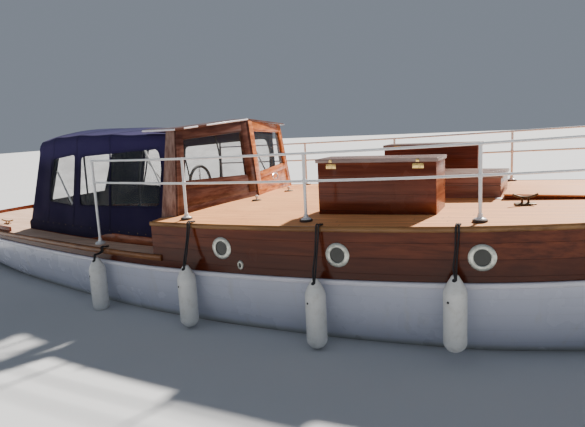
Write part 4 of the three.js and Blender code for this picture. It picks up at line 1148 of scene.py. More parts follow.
class CRUISER_OT_portholes(PieceMaker, bpy.types.Operator):
    """Round portholes and small skin fittings along the topsides"""

    bl_idname = "cruiser.portholes"
    bl_label = "Portholes"

    def execute(self, context):
        sizes = context.scene.cruiser_sizes
        ring_r = sizes.porthole / 2
        glass_r = sizes.porthole_glass / 2
        bm = bmesh.new()
        for x, drop in PORTHOLES:
            place = self.on_side(x, raised_edge(x) - drop)
            profile = [(glass_r, 0.001), (glass_r, 0.010), (glass_r + 0.004, 0.013), (glass_r + 0.012, 0.014),
                       (ring_r - 0.016, 0.011), (ring_r - 0.006, 0.009), (ring_r, 0.005), (ring_r, -0.012)]
            lathe(bm, profile, place, 48)
            # The glass is an opaque dark disc: painted shade of the cabin behind it.
            lathe(bm, [(0.0, 0.0035), (glass_r + 0.001, 0.003)], place, 40, material=1)
            for k in range(6):
                turn = Matrix.Rotation(k * math.pi / 3 + 0.3, 4, "Z")
                seat = place @ turn @ Matrix.Translation((ring_r - 0.018, 0, 0.010))
                lathe(bm, [(0.0, 0.004), (0.004, 0.003), (0.006, 0.0), (0.006, -0.002)], seat, 10)
        both_sides(bm)
        piece(bm, "portholes", ["pale_ring", "dark_glass"])
        bm = bmesh.new()
        place = self.on_side(0.033, 0.636)
        stretch = place @ Matrix.Diagonal((0.80, 1.08, 1.0, 1.0))
        lathe(bm, [(0.018, 0.003), (0.018, 0.012), (0.022, 0.016), (0.032, 0.014), (0.040, 0.006),
                   (0.042, -0.006)], stretch, 32)
        # A dark disc over the bore: painted shade in the hole.
        lathe(bm, [(0.0, 0.004), (0.019, 0.004)], stretch, 24, material=1)
        both_sides(bm)
        piece(bm, "skin_fittings", ["pale_ring", "dark_glass"])
        return {"FINISHED"}

    @staticmethod
    def on_side(x, z):
        """A place on the starboard side whose Z points away from the planking."""
        here = side(x, z)
        along = side(x + 0.05, z) - here
        up = side(x, z + 0.05) - here
        outward = up.cross(along).normalized()
        if outward.y < 0:
            outward = -outward
        flip = Vector((here.x, -here.y, here.z))
        return axes(flip, (1, 0, 0), (outward.x, -outward.y, outward.z))


# Cockpit
class CRUISER_OT_cockpit(PieceMaker, bpy.types.Operator):
    """Coaming, sole, bulkhead, door, benches and engine"""

    bl_idname = "cruiser.cockpit"
    bl_label = "Cockpit"

    def execute(self, context):
        xs = spaced(COAMING_AFT, BREAK_X - SEAT, 0.15)
        outer = [(x, -coaming_half(x)) for x in xs]
        inner = [(max(x, COAMING_AFT + COAMING_THICK), -coaming_half(max(x, COAMING_AFT + COAMING_THICK))
                  + COAMING_THICK) for x in xs]
        bm = bmesh.new()
        outline = outer + inner[::-1] + [(x, -y) for x, y in inner] + [(x, -y) for x, y in outer[::-1]]
        plate(bm, outline, aft_edge(COAMING_AFT) - 0.012, COAMING_TOP, 0.007, 3)
        piece(bm, "cockpit_coaming", ["coaming"], ["coaming"])
        node_piece("cockpit_sole", "sole_planks", "sole", 0.0)
        self.bulkhead()
        self.door()
        for word, sign in SIDES:
            bm = bmesh.new()
            node_shape(bm, f"bench_{word}", 0.006, 2)
            low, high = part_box(f"bench_{word}")
            for k in range(3):
                x = low.x + 0.28 + k * 0.52
                y = (low.y if sign > 0 else high.y)
                block(bm, (x, y - 0.004, 0.29), (x + 0.42, y + 0.004, 0.56), 0.003, 2, material=0)
            piece(bm, f"bench_{word}_seat", ["plain"], [f"bench_{word}"])
        dress("engine_block", "iron")
        return {"FINISHED"}

    @staticmethod
    def bulkhead():
        bm = bmesh.new()
        node_shape(bm, "companion_bulkhead", 0.004, 2)
        face = BREAK_X - 0.026
        for y in (-0.330, 0.300):
            block(bm, (face - 0.006, y, 0.262), (face + 0.002, y + 0.030, 0.955), 0.003)
        block(bm, (face - 0.006, -0.330, 0.925), (face + 0.002, 0.330, 0.955), 0.003)
        piece(bm, "bulkhead_boards", ["upright"], ["companion_bulkhead"])

    @staticmethod
    def door():
        back = -1.093
        bm = bmesh.new()
        node_shape(bm, "cabin_door", 0.003, 2)
        for y0, y1, z0, z1 in ((-0.294, -0.214, 0.248, 0.939), (0.214, 0.294, 0.248, 0.939),
                               (-0.214, 0.214, 0.248, 0.338), (-0.214, 0.214, 0.859, 0.939),
                               (-0.214, 0.214, 0.560, 0.630)):
            block(bm, (back - 0.007, y0, z0), (back + 0.002, y1, z1), 0.003)
        knob = axes((back - 0.007, -0.255, 0.60), (0, 0, 1), (-1, 0, 0))
        lathe(bm, [(0.0, 0.040), (0.014, 0.038), (0.019, 0.028), (0.014, 0.018), (0.008, 0.012),
                   (0.008, 0.004), (0.024, 0.002), (0.024, 0.0)], knob, 20, material=1)
        piece(bm, "panelled_door", ["upright", "brass"], ["cabin_door"], "cabin_door")


class CRUISER_OT_helm(PieceMaker, bpy.types.Operator):
    """Dash with its dials, and the steering wheel"""

    bl_idname = "cruiser.helm"
    bl_label = "Helm"

    def execute(self, context):
        bm = bmesh.new()
        node_shape(bm, "dash", 0.006, 2)
        for y, z, r in ((-0.74, 1.18, 0.042), (-0.86, 1.18, 0.042),
                        (-0.74, 1.06, 0.030), (-0.86, 1.06, 0.030)):
            place = axes((-1.130, y, z), (0, 0, 1), (-1, 0, 0))
            ring = [(r - 0.005, 0.004), (r, 0.008), (r + 0.004, 0.006), (r + 0.005, 0.0)]
            lathe(bm, ring, place, 28, material=1)
            lathe(bm, [(0.0, 0.003), (r - 0.004, 0.003)], place, 28, material=2)
            block(bm, (-0.002, -0.001, 0.0035), (r - 0.012, 0.001, 0.0045), 0,
                  place=place @ Matrix.Rotation(0.9, 4, "Z"), material=1)
        lever = [(-1.115, -0.36, 1.285), (-1.135, -0.36, 1.330), (-1.150, -0.36, 1.375)]
        tube(bm, flow(lever, 4), 0.006, 3, material=1)
        lathe(bm, [(0.0, 0.026), (0.012, 0.022), (0.016, 0.010), (0.010, 0.0), (0.0, -0.002)],
              Matrix.Translation((-1.151, -0.36, 1.372)), 16, material=2)
        piece(bm, "helm_dash", ["across", "chrome", "dial"], ["dash"])
        bm = bmesh.new()
        place = axes((WHEEL["x"], WHEEL["y"], WHEEL["z"]), (0, 0, 1), (-1, 0, 0))
        angles = [2 * math.pi * i / 16 for i in range(16)]
        rim = [(WHEEL["r"] + WHEEL["rim"] * math.cos(a), WHEEL["rim"] * math.sin(a)) for a in angles]
        lathe(bm, rim, place, 72, closed=True)
        lathe(bm, [(0.0, 0.019), (0.020, 0.018), (0.033, 0.012), (0.038, 0.004), (0.038, -0.017),
                   (0.0, -0.017)], place, 32, material=1)
        for k in range(3):
            turn = place @ Matrix.Rotation(k * 2 * math.pi / 3, 4, "Z")
            for y in (-0.007, 0.007):
                start = turn @ Vector((0.030, y, 0.002))
                end = turn @ Vector((WHEEL["r"] - 0.006, y * 1.4, 0.0))
                tube(bm, [start, end], 0.0042, 3, material=1)
        for k in range(24):
            turn = place @ Matrix.Rotation((k + 0.5) * math.pi / 12, 4, "Z")
            seat = turn @ Matrix.Translation((WHEEL["r"] + 0.004, 0, -0.011))
            lathe(bm, [(0.0, -0.006), (0.006, -0.004), (0.008, 0.0), (0.006, 0.004)], seat, 8)
        piece(bm, "wheel_and_spokes", ["rubber", "chrome"], ["steering_wheel"],
              "steering_wheel")
        return {"FINISHED"}


# Windscreen
def between_posts(near, far, share, z):
    """A point on the way from one post to another at a height; both lean as their tables say."""
    made = Vector((0, 0, z))
    for name, weight in ((near, 1 - share), (far, share)):
        foot, top = SCREEN_POSTS[name]
        rise = (z - SCREEN_FOOT) / (screen_top(top[1]) - SCREEN_FOOT)
        for axis in range(2):
            made[axis] += weight * (foot[axis] + (top[axis] - foot[axis]) * rise)
    return made


def board(bm, outline, back, front, radius=0.003, segments=2, material=0):
    """A board through points in one plane, from so far behind it to so far in front of it."""
    a, b, c, d = (Vector(p) for p in outline[:4])
    facing = (c - a).cross(d - b).normalized()
    if facing.x < facing.y:
        facing = -facing
    place = axes(a, b - a, facing)
    flat = [place.inverted() @ Vector(p) for p in outline]
    plate(bm, [(p.x, p.y) for p in flat], back, front, radius, segments, place, material)


def deck_below(near, far, share):
    """The foredeck's height under a place between two posts."""
    at = between_posts(near, far, share, SCREEN_FOOT)
    return foredeck_top(at.x, at.y)


def pane_edge(key):
    """The lower or upper edge of the glass, as a height for each share of the way."""
    a, b = PANE_INNER, PANE_OUTER
    return lambda share: a[key] + (b[key] - a[key]) * (share - a["share"]) / (b["share"] - a["share"])


pane_low, pane_top = pane_edge("low"), pane_edge("top")


class CRUISER_OT_windscreen(PieceMaker, bpy.types.Operator):
    """Two raked windscreen halves with their wings, glass and visor"""

    bl_idname = "cruiser.windscreen"
    bl_label = "Windscreen"

    def execute(self, context):
        for word, sign in SIDES:
            bm = bmesh.new()
            self.half(bm)
            self.wing(bm)
            if sign > 0:
                self.vent(bm)
            settled(bm, sign)
            # The starboard half takes the darker copy of the wood and the port half the lighter one: painted
            # shade and painted sunlight.
            face = "screen" if sign < 0 else "sunny_screen"
            piece(bm, f"screen_{word}", [face, "wing", "chrome"],
                  [f"windscreen_{word}"])
            dress(f"windscreen_glass_{word}", "glass")
        self.visor()
        return {"FINISHED"}

    @staticmethod
    def half(bm):
        thin = SCREEN_THICK / 2

        def at(share, z):
            return between_posts("apex", "corner", share, z)

        def rail(low, high, ends, back, front, radius=0.004):
            a, b = ends
            board(bm, [at(a, low(a)), at(b, low(b)), at(b, high(b)), at(a, high(a))], back, front, radius)

        def foot(share):
            return deck_below("apex", "corner", share) - 0.010

        def top(share):
            return screen_top(at(share, SCREEN_FOOT).y * 0.88)

        def lifted(line, by):
            return lambda share: line(share) + by

        inner, outer = PANE_INNER["share"], PANE_OUTER["share"]
        whole = (0.004, 1.0)
        rail(foot, pane_low, whole, -0.014, 0.014, 0.002)
        rail(foot, lifted(foot, 0.075), whole, -thin, thin)
        rail(lifted(pane_low, -0.070), pane_low, (inner, outer), -thin, thin)
        rail(pane_top, top, (inner, outer), -thin, thin)
        for ends in ((0.004, inner), (outer, 1.0)):
            rail(lifted(foot, 0.070), top, ends, -thin - 0.0006, thin + 0.0006)
        bead = 0.014
        wide = bead / 1.2
        under, over = lifted(pane_low, bead), lifted(pane_top, -bead)
        for back, front in ((0.004, 0.017), (-0.017, -0.004)):
            rail(pane_low, under, (inner, outer), back, front, 0.002)
            rail(over, pane_top, (inner, outer), back, front, 0.002)
            rail(under, over, (inner, inner + wide), back, front, 0.002)
            rail(under, over, (outer - wide, outer), back, front, 0.002)
        rail(foot, top, (-0.006, 0.012), -thin - 0.002, thin + 0.006)
        rail(foot, top, (0.988, 1.006), -thin - 0.002, thin + 0.004)

    @staticmethod
    def wing(bm):
        low = [deck_below("corner", "wing", share) - 0.010 for share in (0, 1)]
        high = [screen_top(SCREEN_POSTS[name][1][1]) - 0.002 for name in ("corner", "wing")]
        outline = [between_posts("corner", "wing", share, z) for share, z in
                   ((0, low[0]), (1, low[1]), (1, high[1]), (0, high[0]))]
        board(bm, outline, -0.018, 0.017, 0.005, 3, 1)

    @staticmethod
    def vent(bm):
        """An oval vent low on the inboard end of the half."""
        centre = between_posts("apex", "corner", 0.55, 1.205)
        along = between_posts("apex", "corner", 1.0, 1.205) - centre
        above = between_posts("apex", "corner", 0.55, 1.3) - centre
        facing = along.cross(above)
        if facing.x < 0:
            facing = -facing
        seat = axes(centre, along, facing) @ Matrix.Translation((0, 0, SCREEN_THICK / 2 - 0.008))
        stretch = seat @ Matrix.Diagonal((2.0, 0.8, 1.0, 1.0))
        lathe(bm, [(0.0, -0.002), (0.040, -0.002), (0.044, 0.006), (0.052, 0.008), (0.058, 0.004),
                   (0.060, 0.0)], stretch, 36, material=2)

    @staticmethod
    def visor():
        half, arm = VISOR["half"], VISOR["half"] - VISOR["arm"]
        mid, side_x = VISOR["front_mid"], VISOR["front_side"]
        band_arm = mid + (side_x - mid) * arm / half - VISOR["band"]
        outline = [(mid, 0), (mid - VISOR["band"], 0), (band_arm, -arm), (VISOR["aft"], -arm),
                   (VISOR["aft"], -half), (side_x, -half)]
        for word, sign in SIDES:
            bm = bmesh.new()
            plate(bm, outline, 0, VISOR["thick"], 0.006, 3)
            rim = [(x, y, VISOR["thick"] / 2) for x, y in (outline[4], outline[5], outline[0])]
            rim[0] = (rim[0][0] + 0.010, rim[0][1] + 0.002, rim[0][2])
            rim[1] = (rim[1][0] - 0.002, rim[1][1] + 0.002, rim[1][2])
            rim[2] = (rim[2][0] - 0.002, rim[2][1] - 0.001, rim[2][2])
            arm_end, corner, mid_end = (Vector(p) for p in rim)
            lengths = [(arm_end, corner, 0.0, 1.0)]
            if sign < 0:
                lengths += [(corner, mid_end, 0.105, 0.277), (corner, mid_end, 0.395, 1.0)]
            for a, b, start, end in lengths:
                run = [a.lerp(b, start + (end - start) * t / 12) for t in range(13)]
                tube(bm, run, 0.0095, 3, material=1)
            for vert in bm.verts:
                vert.co.z += screen_top(vert.co.y) + SEAT
            settled(bm, sign)
            piece(bm, f"visor_{word}", ["screen", "strake"], ["visor"])


# Canopy
LAST_HOOP = len(HOOPS) - 1


def hoop_at(station):
    """The canopy's section at a place between two hoops, counted from the forward one."""
    rows = [(k, *row) for k, row in enumerate(HOOPS)]
    return [read(rows, column, station) for column in range(1, 7)]


def canopy_point(station, around, inset, sag):
    """A point on the canopy; around is -1 at the port foot, 0 at the crown and 1 at the starboard foot."""
    foot, top, foot_half, eave_half, eave, crown = hoop_at(station)
    hang = sag * math.sin(math.pi * (station % 1.0)) ** 2 if 1 < station < LAST_HOOP else 0.0
    sign = -1 if around > 0 else 1
    across = abs(around)
    roof = 1 - CANOPY_WALL
    if across <= roof:
        t = across / roof
        turn = t ** 0.92
        y = eave_half * math.sin(turn * math.pi / 2) ** 0.82
        z = eave + (crown - eave) * (1 - (y / eave_half) ** 2.4)
        z -= hang * (1 - t ** 3)
        corner = smooth((t - 0.80) / 0.20)
        z -= EAVE_DROP * corner
        y -= EAVE_IN * corner
    else:
        t = (across - roof) / CANOPY_WALL
        eave_z = eave - EAVE_DROP
        z = eave_z + (COAMING_TOP + SEAT - eave_z) * t
        swell = math.sin(math.pi * t)
        y = eave_half - EAVE_IN + (foot_half - eave_half + EAVE_IN) * t - hang * 0.9 * swell
        bulge = 0.012 * math.exp(-((t - 0.04) / 0.05) ** 2)
        y += bulge
    share = (z - COAMING_TOP) / (crown - COAMING_TOP)
    x = foot + (top - foot) * share
    return Vector((x, sign * (y - inset * (0.35 + 0.65 * across)), z - inset * (1 - across)))


def canopy_row(station, sag, columns=96):
    """Points over the canopy at one station, from the port foot to the starboard one."""
    return [canopy_point(station, -1 + 2 * i / columns, 0.0, sag) for i in range(columns + 1)]


def side_patch(outline, grow, inset, sag):
    """The canopy's starboard side trimmed to an outline of (x, z) points, a little larger all round."""
    sheet = bmesh.new()
    loft(sheet, [[canopy_point(k / 16, 0.54 + a * 0.46 / 30, inset, sag) for a in range(31)]
                 for k in range(16 * LAST_HOOP + 1)])
    centre = sum((Vector(p) for p in outline), Vector((0, 0))) / len(outline)
    for a, b in zip(outline, outline[1:] + outline[:1]):
        a, b = Vector(a), Vector(b)
        out = Vector((b.y - a.y, a.x - b.x)).normalized()
        if out.dot(a - centre) < 0:
            out = -out
        edge = a + out * grow
        bmesh.ops.bisect_plane(sheet, geom=sheet.verts[:] + sheet.edges[:] + sheet.faces[:], dist=WELD,
                               plane_co=(edge.x, 0, edge.y), plane_no=(out.x, 0, out.y), clear_outer=True)
    outward(sheet)
    return sheet


def window_cutter(outline, roundness=0.05):
    """A side window's outline, its corners rounded, pushed through the starboard side."""
    part = bmesh.new()
    verts, edges = drawn(part, [(x, -1.5, z) for x, z in outline], True)
    bmesh.ops.contextual_create(part, geom=edges)
    bmesh.ops.bevel(part, geom=part.verts[:], offset=roundness, offset_type="OFFSET", segments=5, profile=0.5,
                    affect="VERTICES", material=-1, clamp_overlap=True)
    moved = bmesh.ops.extrude_face_region(part, geom=part.faces[:])["geom"]
    bmesh.ops.translate(part, vec=(0, 0.8, 0), verts=verts_of(moved))
    return part


class CRUISER_OT_canopy(PieceMaker, bpy.types.Operator):
    """Canvas canopy with its clear windows, on tube hoops"""

    bl_idname = "cruiser.canopy"
    bl_label = "Canopy"

    def execute(self, context):
        sag = context.scene.cruiser_sizes.sag
        self.cloth(sag)
        self.panes(sag)
        self.tapes(sag)
        self.hoops()
        self.stays()
        return {"FINISHED"}

    @staticmethod
    def cloth(sag):
        bm = bmesh.new()
        loft(bm, [canopy_row(LAST_HOOP * i / 90, sag) for i in range(91)])
        end = canopy_row(LAST_HOOP, sag)
        half = len(end) // 2
        rows = []
        for k in range(9):
            t = k / 8
            rows.append([Vector((a.x, a.y * (1 - t) + b.y * t, a.z * (1 - t) + b.z * t))
                         for a, b in zip(end[:half + 1], end[half:][::-1])])
        loft(bm, rows)
        bmesh.ops.remove_doubles(bm, verts=bm.verts, dist=0.0008)
        outward(bm)
        thickened(bm, 0.004)
        cutters = [window_cutter(row) for row in SIDE_WINDOWS]
        for row in SIDE_WINDOWS:
            port = window_cutter(row)
            to_port(port)
            cutters.append(port)
        wide = AFT_WINDOW["half"]
        cutters.append(solid_box((-4.0, -wide, AFT_WINDOW["low"]), (-3.3, wide, AFT_WINDOW["top"]), 0))
        cutters.append(solid_box(*ROOF_GAP, 0))
        made = cut(bm, cutters)
        cloth = piece(made, "canopy_cloth", ["canvas"], ["canopy"], sharp=60.0)

    @staticmethod
    def panes(sag):
        for word, sign in SIDES:
            bm = bmesh.new()
            for outline in SIDE_WINDOWS:
                sheet = side_patch(outline, 0.018, 0.0075, sag)
                bmesh.ops.solidify(sheet, geom=sheet.faces[:], thickness=0.0008)
                absorb(bm, sheet)
            settled(bm, sign)
            piece(bm, f"side_windows_{word}", ["pane"], [f"canopy_side_pane_{word}"])
        dress("canopy_aft_pane", "pane")

    @staticmethod
    def tapes(sag):
        """Window hems, tapes over the hoops and fasteners along the foot."""
        for word, sign in SIDES:
            bm = bmesh.new()
            for outline in SIDE_WINDOWS:
                hem = side_patch(outline, 0.024, -0.0035, sag)
                thickened(hem, 0.0015)
                absorb(bm, cut(hem, [window_cutter(outline)]))
            for k in FRAME_HOOPS:
                tape = bmesh.new()
                rows = [[canopy_point(k + t, a / 60, -0.0025, sag) for a in range(61)]
                        for t in (-0.022, 0.0, 0.022)]
                loft(tape, rows)
                thickened(tape, 0.0012)
                absorb(bm, tape)
            for k in range(19):
                station = 0.25 + k * 0.25
                at = canopy_point(station, 0.990, -0.001, sag)
                ahead = canopy_point(station + 0.01, 0.990, -0.001, sag) - at
                above = canopy_point(station, 0.970, -0.001, sag) - at
                facing = ahead.cross(above)
                if facing.y > 0:
                    facing = -facing
                stud = axes(at, ahead, facing)
                lathe(bm, [(0.0, 0.0050), (0.0045, 0.0045), (0.0075, 0.0020), (0.0080, -0.0010)],
                      stud, 12, material=1)
            CRUISER_OT_canopy.skirt(bm)
            settled(bm, sign)
            piece(bm, f"canopy_tapes_{word}", ["tape", "dark_bronze", "canvas"])

    @staticmethod
    def skirt(bm):
        """The canvas that comes down over the starboard half of the coaming's after part."""
        wrap = bmesh.new()
        rows = []
        for x in spaced(SKIRT["fore"], COAMING_AFT, 0.06):
            deep = SKIRT["deep"] * smooth((SKIRT["fore"] - x) / SKIRT["taper"])
            half = coaming_half(x)
            rows.append([Vector((max(x, COAMING_AFT + back), -y, z)) for back, y, z in
                         ((0.022, half - 0.012, COAMING_TOP + 0.034),
                          (0.006, half + 0.001, COAMING_TOP + 0.008),
                          (0.0, half + 0.003, COAMING_TOP - 0.004),
                          (0.0, half + 0.003, COAMING_TOP - 0.006 - deep / 2),
                          (0.0, half + 0.003, COAMING_TOP - 0.008 - deep))])
        end = rows[-1]
        for y_share in (0.992, 0.96, 0.5, 0.0):
            rows.append([Vector((p.x - SKIRT["wrap"] * min(1.0, k / 2), p.y * y_share, p.z))
                         for k, p in enumerate(end)])
        loft(wrap, rows)
        outward(wrap)
        thickened(wrap, 0.0015)
        absorb(bm, wrap, None, 2)

    @staticmethod
    def hoops():
        bm = bmesh.new()
        clear = CANVAS + HOOP_R + 0.016
        low = COAMING_TOP - 0.040
        for foot, top, foot_half, eave_half, eave, crown in (FORE_HOOP, *(HOOPS[k] for k in FRAME_HOOPS)):
            def at(y, z):
                return Vector((foot + (top - foot) * (z - low) / (crown - low), y, z))
            half = [at(foot_half - COAMING_THICK - 0.008 - HOOP_R, low + 0.010),
                    at(eave_half - clear - 0.022, eave - 0.230), at(eave_half - clear - 0.120, eave - 0.060),
                    at(eave_half * 0.5, crown - clear - 0.028), at(0, crown - clear - 0.006)]
            whole = half + [Vector((p.x, -p.y, p.z)) for p in half[-2::-1]]
            tube(bm, flow(whole, 10), HOOP_R, 4)
            for sign in (-1, 1):
                y = sign * (foot_half - COAMING_THICK - 0.022)
                block(bm, (foot - 0.018, y - 0.020, low), (foot + 0.018, y + 0.020, low + 0.034), 0.004)
        fore, aft = HOOPS[FRAME_HOOPS[0]], HOOPS[FRAME_HOOPS[-1]]
        tube(bm, [(fore[1] + 0.010, 0, fore[5] - clear), (aft[1] - 0.010, 0, aft[5] - clear)], 0.009, 3)
        piece(bm, "canopy_hoops", ["sleeve"], ["canopy_frame"])

    @staticmethod
    def stays():
        """White struts and crossed stays inside the canopy."""
        runs = (
            ((-1.070, -1.160, 0.985), (-1.208, -1.120, 1.280), (-1.401, -1.110, 1.691)),
            ((-2.665, -0.925, 0.775), (-2.820, -0.900, 1.008), (-3.110, -0.835, 1.430)),
            ((-2.890, -0.885, 0.775), (-2.815, -0.885, 1.008), (-2.640, -0.885, 1.500)),
        )
        bm = bmesh.new()
        for sign in (-1, 1):
            for run in runs:
                tube(bm, flow([(x, -sign * y, z) for x, y, z in run], 8), 0.011, 3)
                x, y, z = run[0]
                lathe(bm, [(0.0, -0.012), (0.016, -0.012), (0.016, -0.004), (0.011, 0.004), (0.011, 0.030)],
                      Matrix.Translation((x, -sign * y, z)), 16, material=1)
            strap = [(-2.515, sign * 0.925, 1.775), (-2.400, sign * 1.040, 0.735)]
            tube(bm, strap, 0.011, 3, material=2)
        piece(bm, "canopy_stays", ["rail", "chrome", "sleeve"])


# Guard rails
class CRUISER_OT_rails(PieceMaker, bpy.types.Operator):
    """Guard rails in four lengths a side, on turned posts"""

    bl_idname = "cruiser.rails"
    bl_label = "Guard Rails"

    def execute(self, context):
        for word, sign in SIDES:
            feet = [self.foot(x, half, sign) for x, half in POSTS]
            upper = [Vector((x, y, rail)) for x, y, deck, rail in feet]
            lower = [p - Vector((0, 0, RAIL_TALL - RAIL_LOW)) for p in upper]
            for name, first, last in RAIL_LENGTHS:
                bm = bmesh.new()
                steps = 12
                start = (first - 1) * steps if first else 0
                for line in (upper, lower):
                    run = flow(line, steps)[start:last * steps + 1]
                    if first:
                        ahead = (run[1] - run[0]).normalized()
                        run[0] = run[0] + ahead * (POST_R + 0.002)
                    tube(bm, run, RAIL_R, 4)
                for x, y, deck, rail in feet[first:last + 1]:
                    self.post(bm, x, y, deck, rail)
                piece(bm, f"rail_{name}_{word}", ["rail", "chrome", "pad"],
                      [f"guard_rail_{name}_{word}"])
        return {"FINISHED"}

    @staticmethod
    def foot(x, half, sign):
        return x, sign * half, deck_top(x, half), raised_edge(x) + 0.020 + RAIL_TALL

    @staticmethod
    def post(bm, x, y, deck, rail):
        stand = Matrix.Translation((x, y, deck))
        tall = rail - deck
        lathe(bm, [(0.0, -0.006), (BASE_R, -0.006), (BASE_R, 0.014), (BASE_R - 0.003, 0.017), (0.0, 0.017)],
              stand, 24, material=2 if x > BREAK_X else 0)
        lathe(bm, [(0.0, 0.016), (0.046, 0.016), (0.046, 0.023), (0.043, 0.026), (0.034, 0.028),
                   (0.024, 0.034), (0.020, 0.048), (0.019, 0.060), (POST_R, 0.066), (POST_R, tall - 0.016),
                   (0.018, tall - 0.012), (0.019, tall), (0.014, tall + 0.010),
                   (0.0, tall + 0.013)], stand, 24)
        lower = tall - (RAIL_TALL - RAIL_LOW)
        lathe(bm, [(POST_R, lower - 0.022), (0.0185, lower - 0.016), (0.0185, lower + 0.016),
                   (POST_R, lower + 0.022)], stand, 20)
        for k in range(4):
            turned = stand @ Matrix.Rotation(k * math.pi / 2 + 0.5, 4, "Z")
            seat = turned @ Matrix.Translation((0.037, 0, 0.0275))
            lathe(bm, [(0.0, 0.003), (0.004, 0.002), (0.005, 0.0), (0.005, -0.003)], seat, 8, material=1)


# Deck gear
def lid_shape(node):
    """A rounded lid as large as its node, its edges in the second finish, and the node's corners."""
    low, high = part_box(node)
    bm = bmesh.new()
    block(bm, low, high, 0.007, 3)
    for face in bm.faces:
        if abs(face.normal.z) < 0.8:
            face.material_index = 1
    return bm, low, high


class CRUISER_OT_deck_boxes(PieceMaker, bpy.types.Operator):
    """Tall deck boxes with overhanging lids, hasps and hinges"""

    bl_idname = "cruiser.deck_boxes"
    bl_label = "Deck Boxes"

    def execute(self, context):
        for word, sign in SIDES:
            low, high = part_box(f"deck_box_{word}")
            bm = bmesh.new()
            node_shape(bm, f"deck_box_{word}", 0.005, 3)
            outer = sign * BOX_OUTER
            deck = foredeck_top((low.x + high.x) / 2, outer)
            for x in (low.x + 0.058, low.x + 0.538, low.x + 0.988):
                y0, y1 = sorted((outer - sign * 0.02, outer + sign * 0.0035))
                block(bm, (x - 0.02, y0, deck + 0.012), (x + 0.02, y1, deck + 0.030), 0.003)
            outward(bm)
            # The forward end faces take the lighter copy of the wood: painted sunlight.
            for face in bm.faces:
                if face.normal.x > 0.8 and face.calc_center_median().x > high.x - 0.01:
                    face.material_index = 1
            for x in (low.x + 0.134, low.x + 0.918):
                y0, y1 = sorted((outer - sign * 0.002, outer + sign * 0.0045))
                block(bm, (x - 0.048, y0, high.z - 0.052), (x + 0.048, y1, high.z - 0.008), 0.002, material=2)
                for shift in (-0.036, 0.036):
                    screw = axes((x + shift, outer + sign * 0.0045, high.z - 0.030), (1, 0, 0), (0, sign, 0))
                    lathe(bm, [(0.0, 0.0015), (0.004, 0.0010), (0.005, -0.001)], screw, 8, material=2)
            piece(bm, f"box_{word}", ["box", "box_end", "brass"],
                  [f"deck_box_{word}"])
            self.lid(word, sign)
        return {"FINISHED"}

    @staticmethod
    def lid(word, sign):
        bm, low, high = lid_shape(f"deck_box_lid_{word}")
        outer = low.y if sign < 0 else high.y
        for x in (low.x + 0.150, low.x + 0.934):
            y0, y1 = sorted((outer - sign * 0.002, outer + sign * 0.003))
            block(bm, (x - 0.014, y0, low.z + 0.004), (x + 0.014, y1, high.z - 0.006), 0.0015, material=2)
        inner = high.y if sign < 0 else low.y
        for x in (low.x + 0.180, high.x - 0.180):
            knuckle = axes((x - 0.040, inner - sign * 0.005, low.z + 0.022), (0, 0, 1), (1, 0, 0))
            lathe(bm, [(0.0, 0.0), (0.006, 0.001), (0.006, 0.079), (0.0, 0.080)], knuckle, 12, material=2)
        piece(bm, f"box_lid_{word}", ["lid", "lid_rim", "brass"],
              [f"deck_box_lid_{word}"], f"deck_box_lid_{word}")


class CRUISER_OT_locker(PieceMaker, bpy.types.Operator):
    """Low locker and fore hatch, with their lids"""

    bl_idname = "cruiser.locker"
    bl_label = "Locker and Hatch"

    def execute(self, context):
        low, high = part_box("low_locker")
        bm = bmesh.new()
        node_shape(bm, "low_locker", 0.005, 3)
        middle = (low.z + high.z) / 2 + 0.03
        for y0, y1 in ((low.y - 0.005, low.y + 0.004), (high.y - 0.004, high.y + 0.005)):
            block(bm, (low.x, y0, middle), (high.x, y1, middle + 0.010), 0.003, material=1)
        piece(bm, "locker_sides", ["locker", "lid"], ["low_locker"])
        self.lid("low_locker_lid", "locker_top", "lid", "lid_rim")
        node_piece("fore_hatch_frame", "hatch_coaming", "along", 0.004)
        self.lid("fore_hatch_lid", "hatch_top", "deck", "deck")
        return {"FINISHED"}

    @staticmethod
    def lid(node, name, top, rim):
        bm = lid_shape(node)[0]
        piece(bm, name, [top, rim], [node], node)


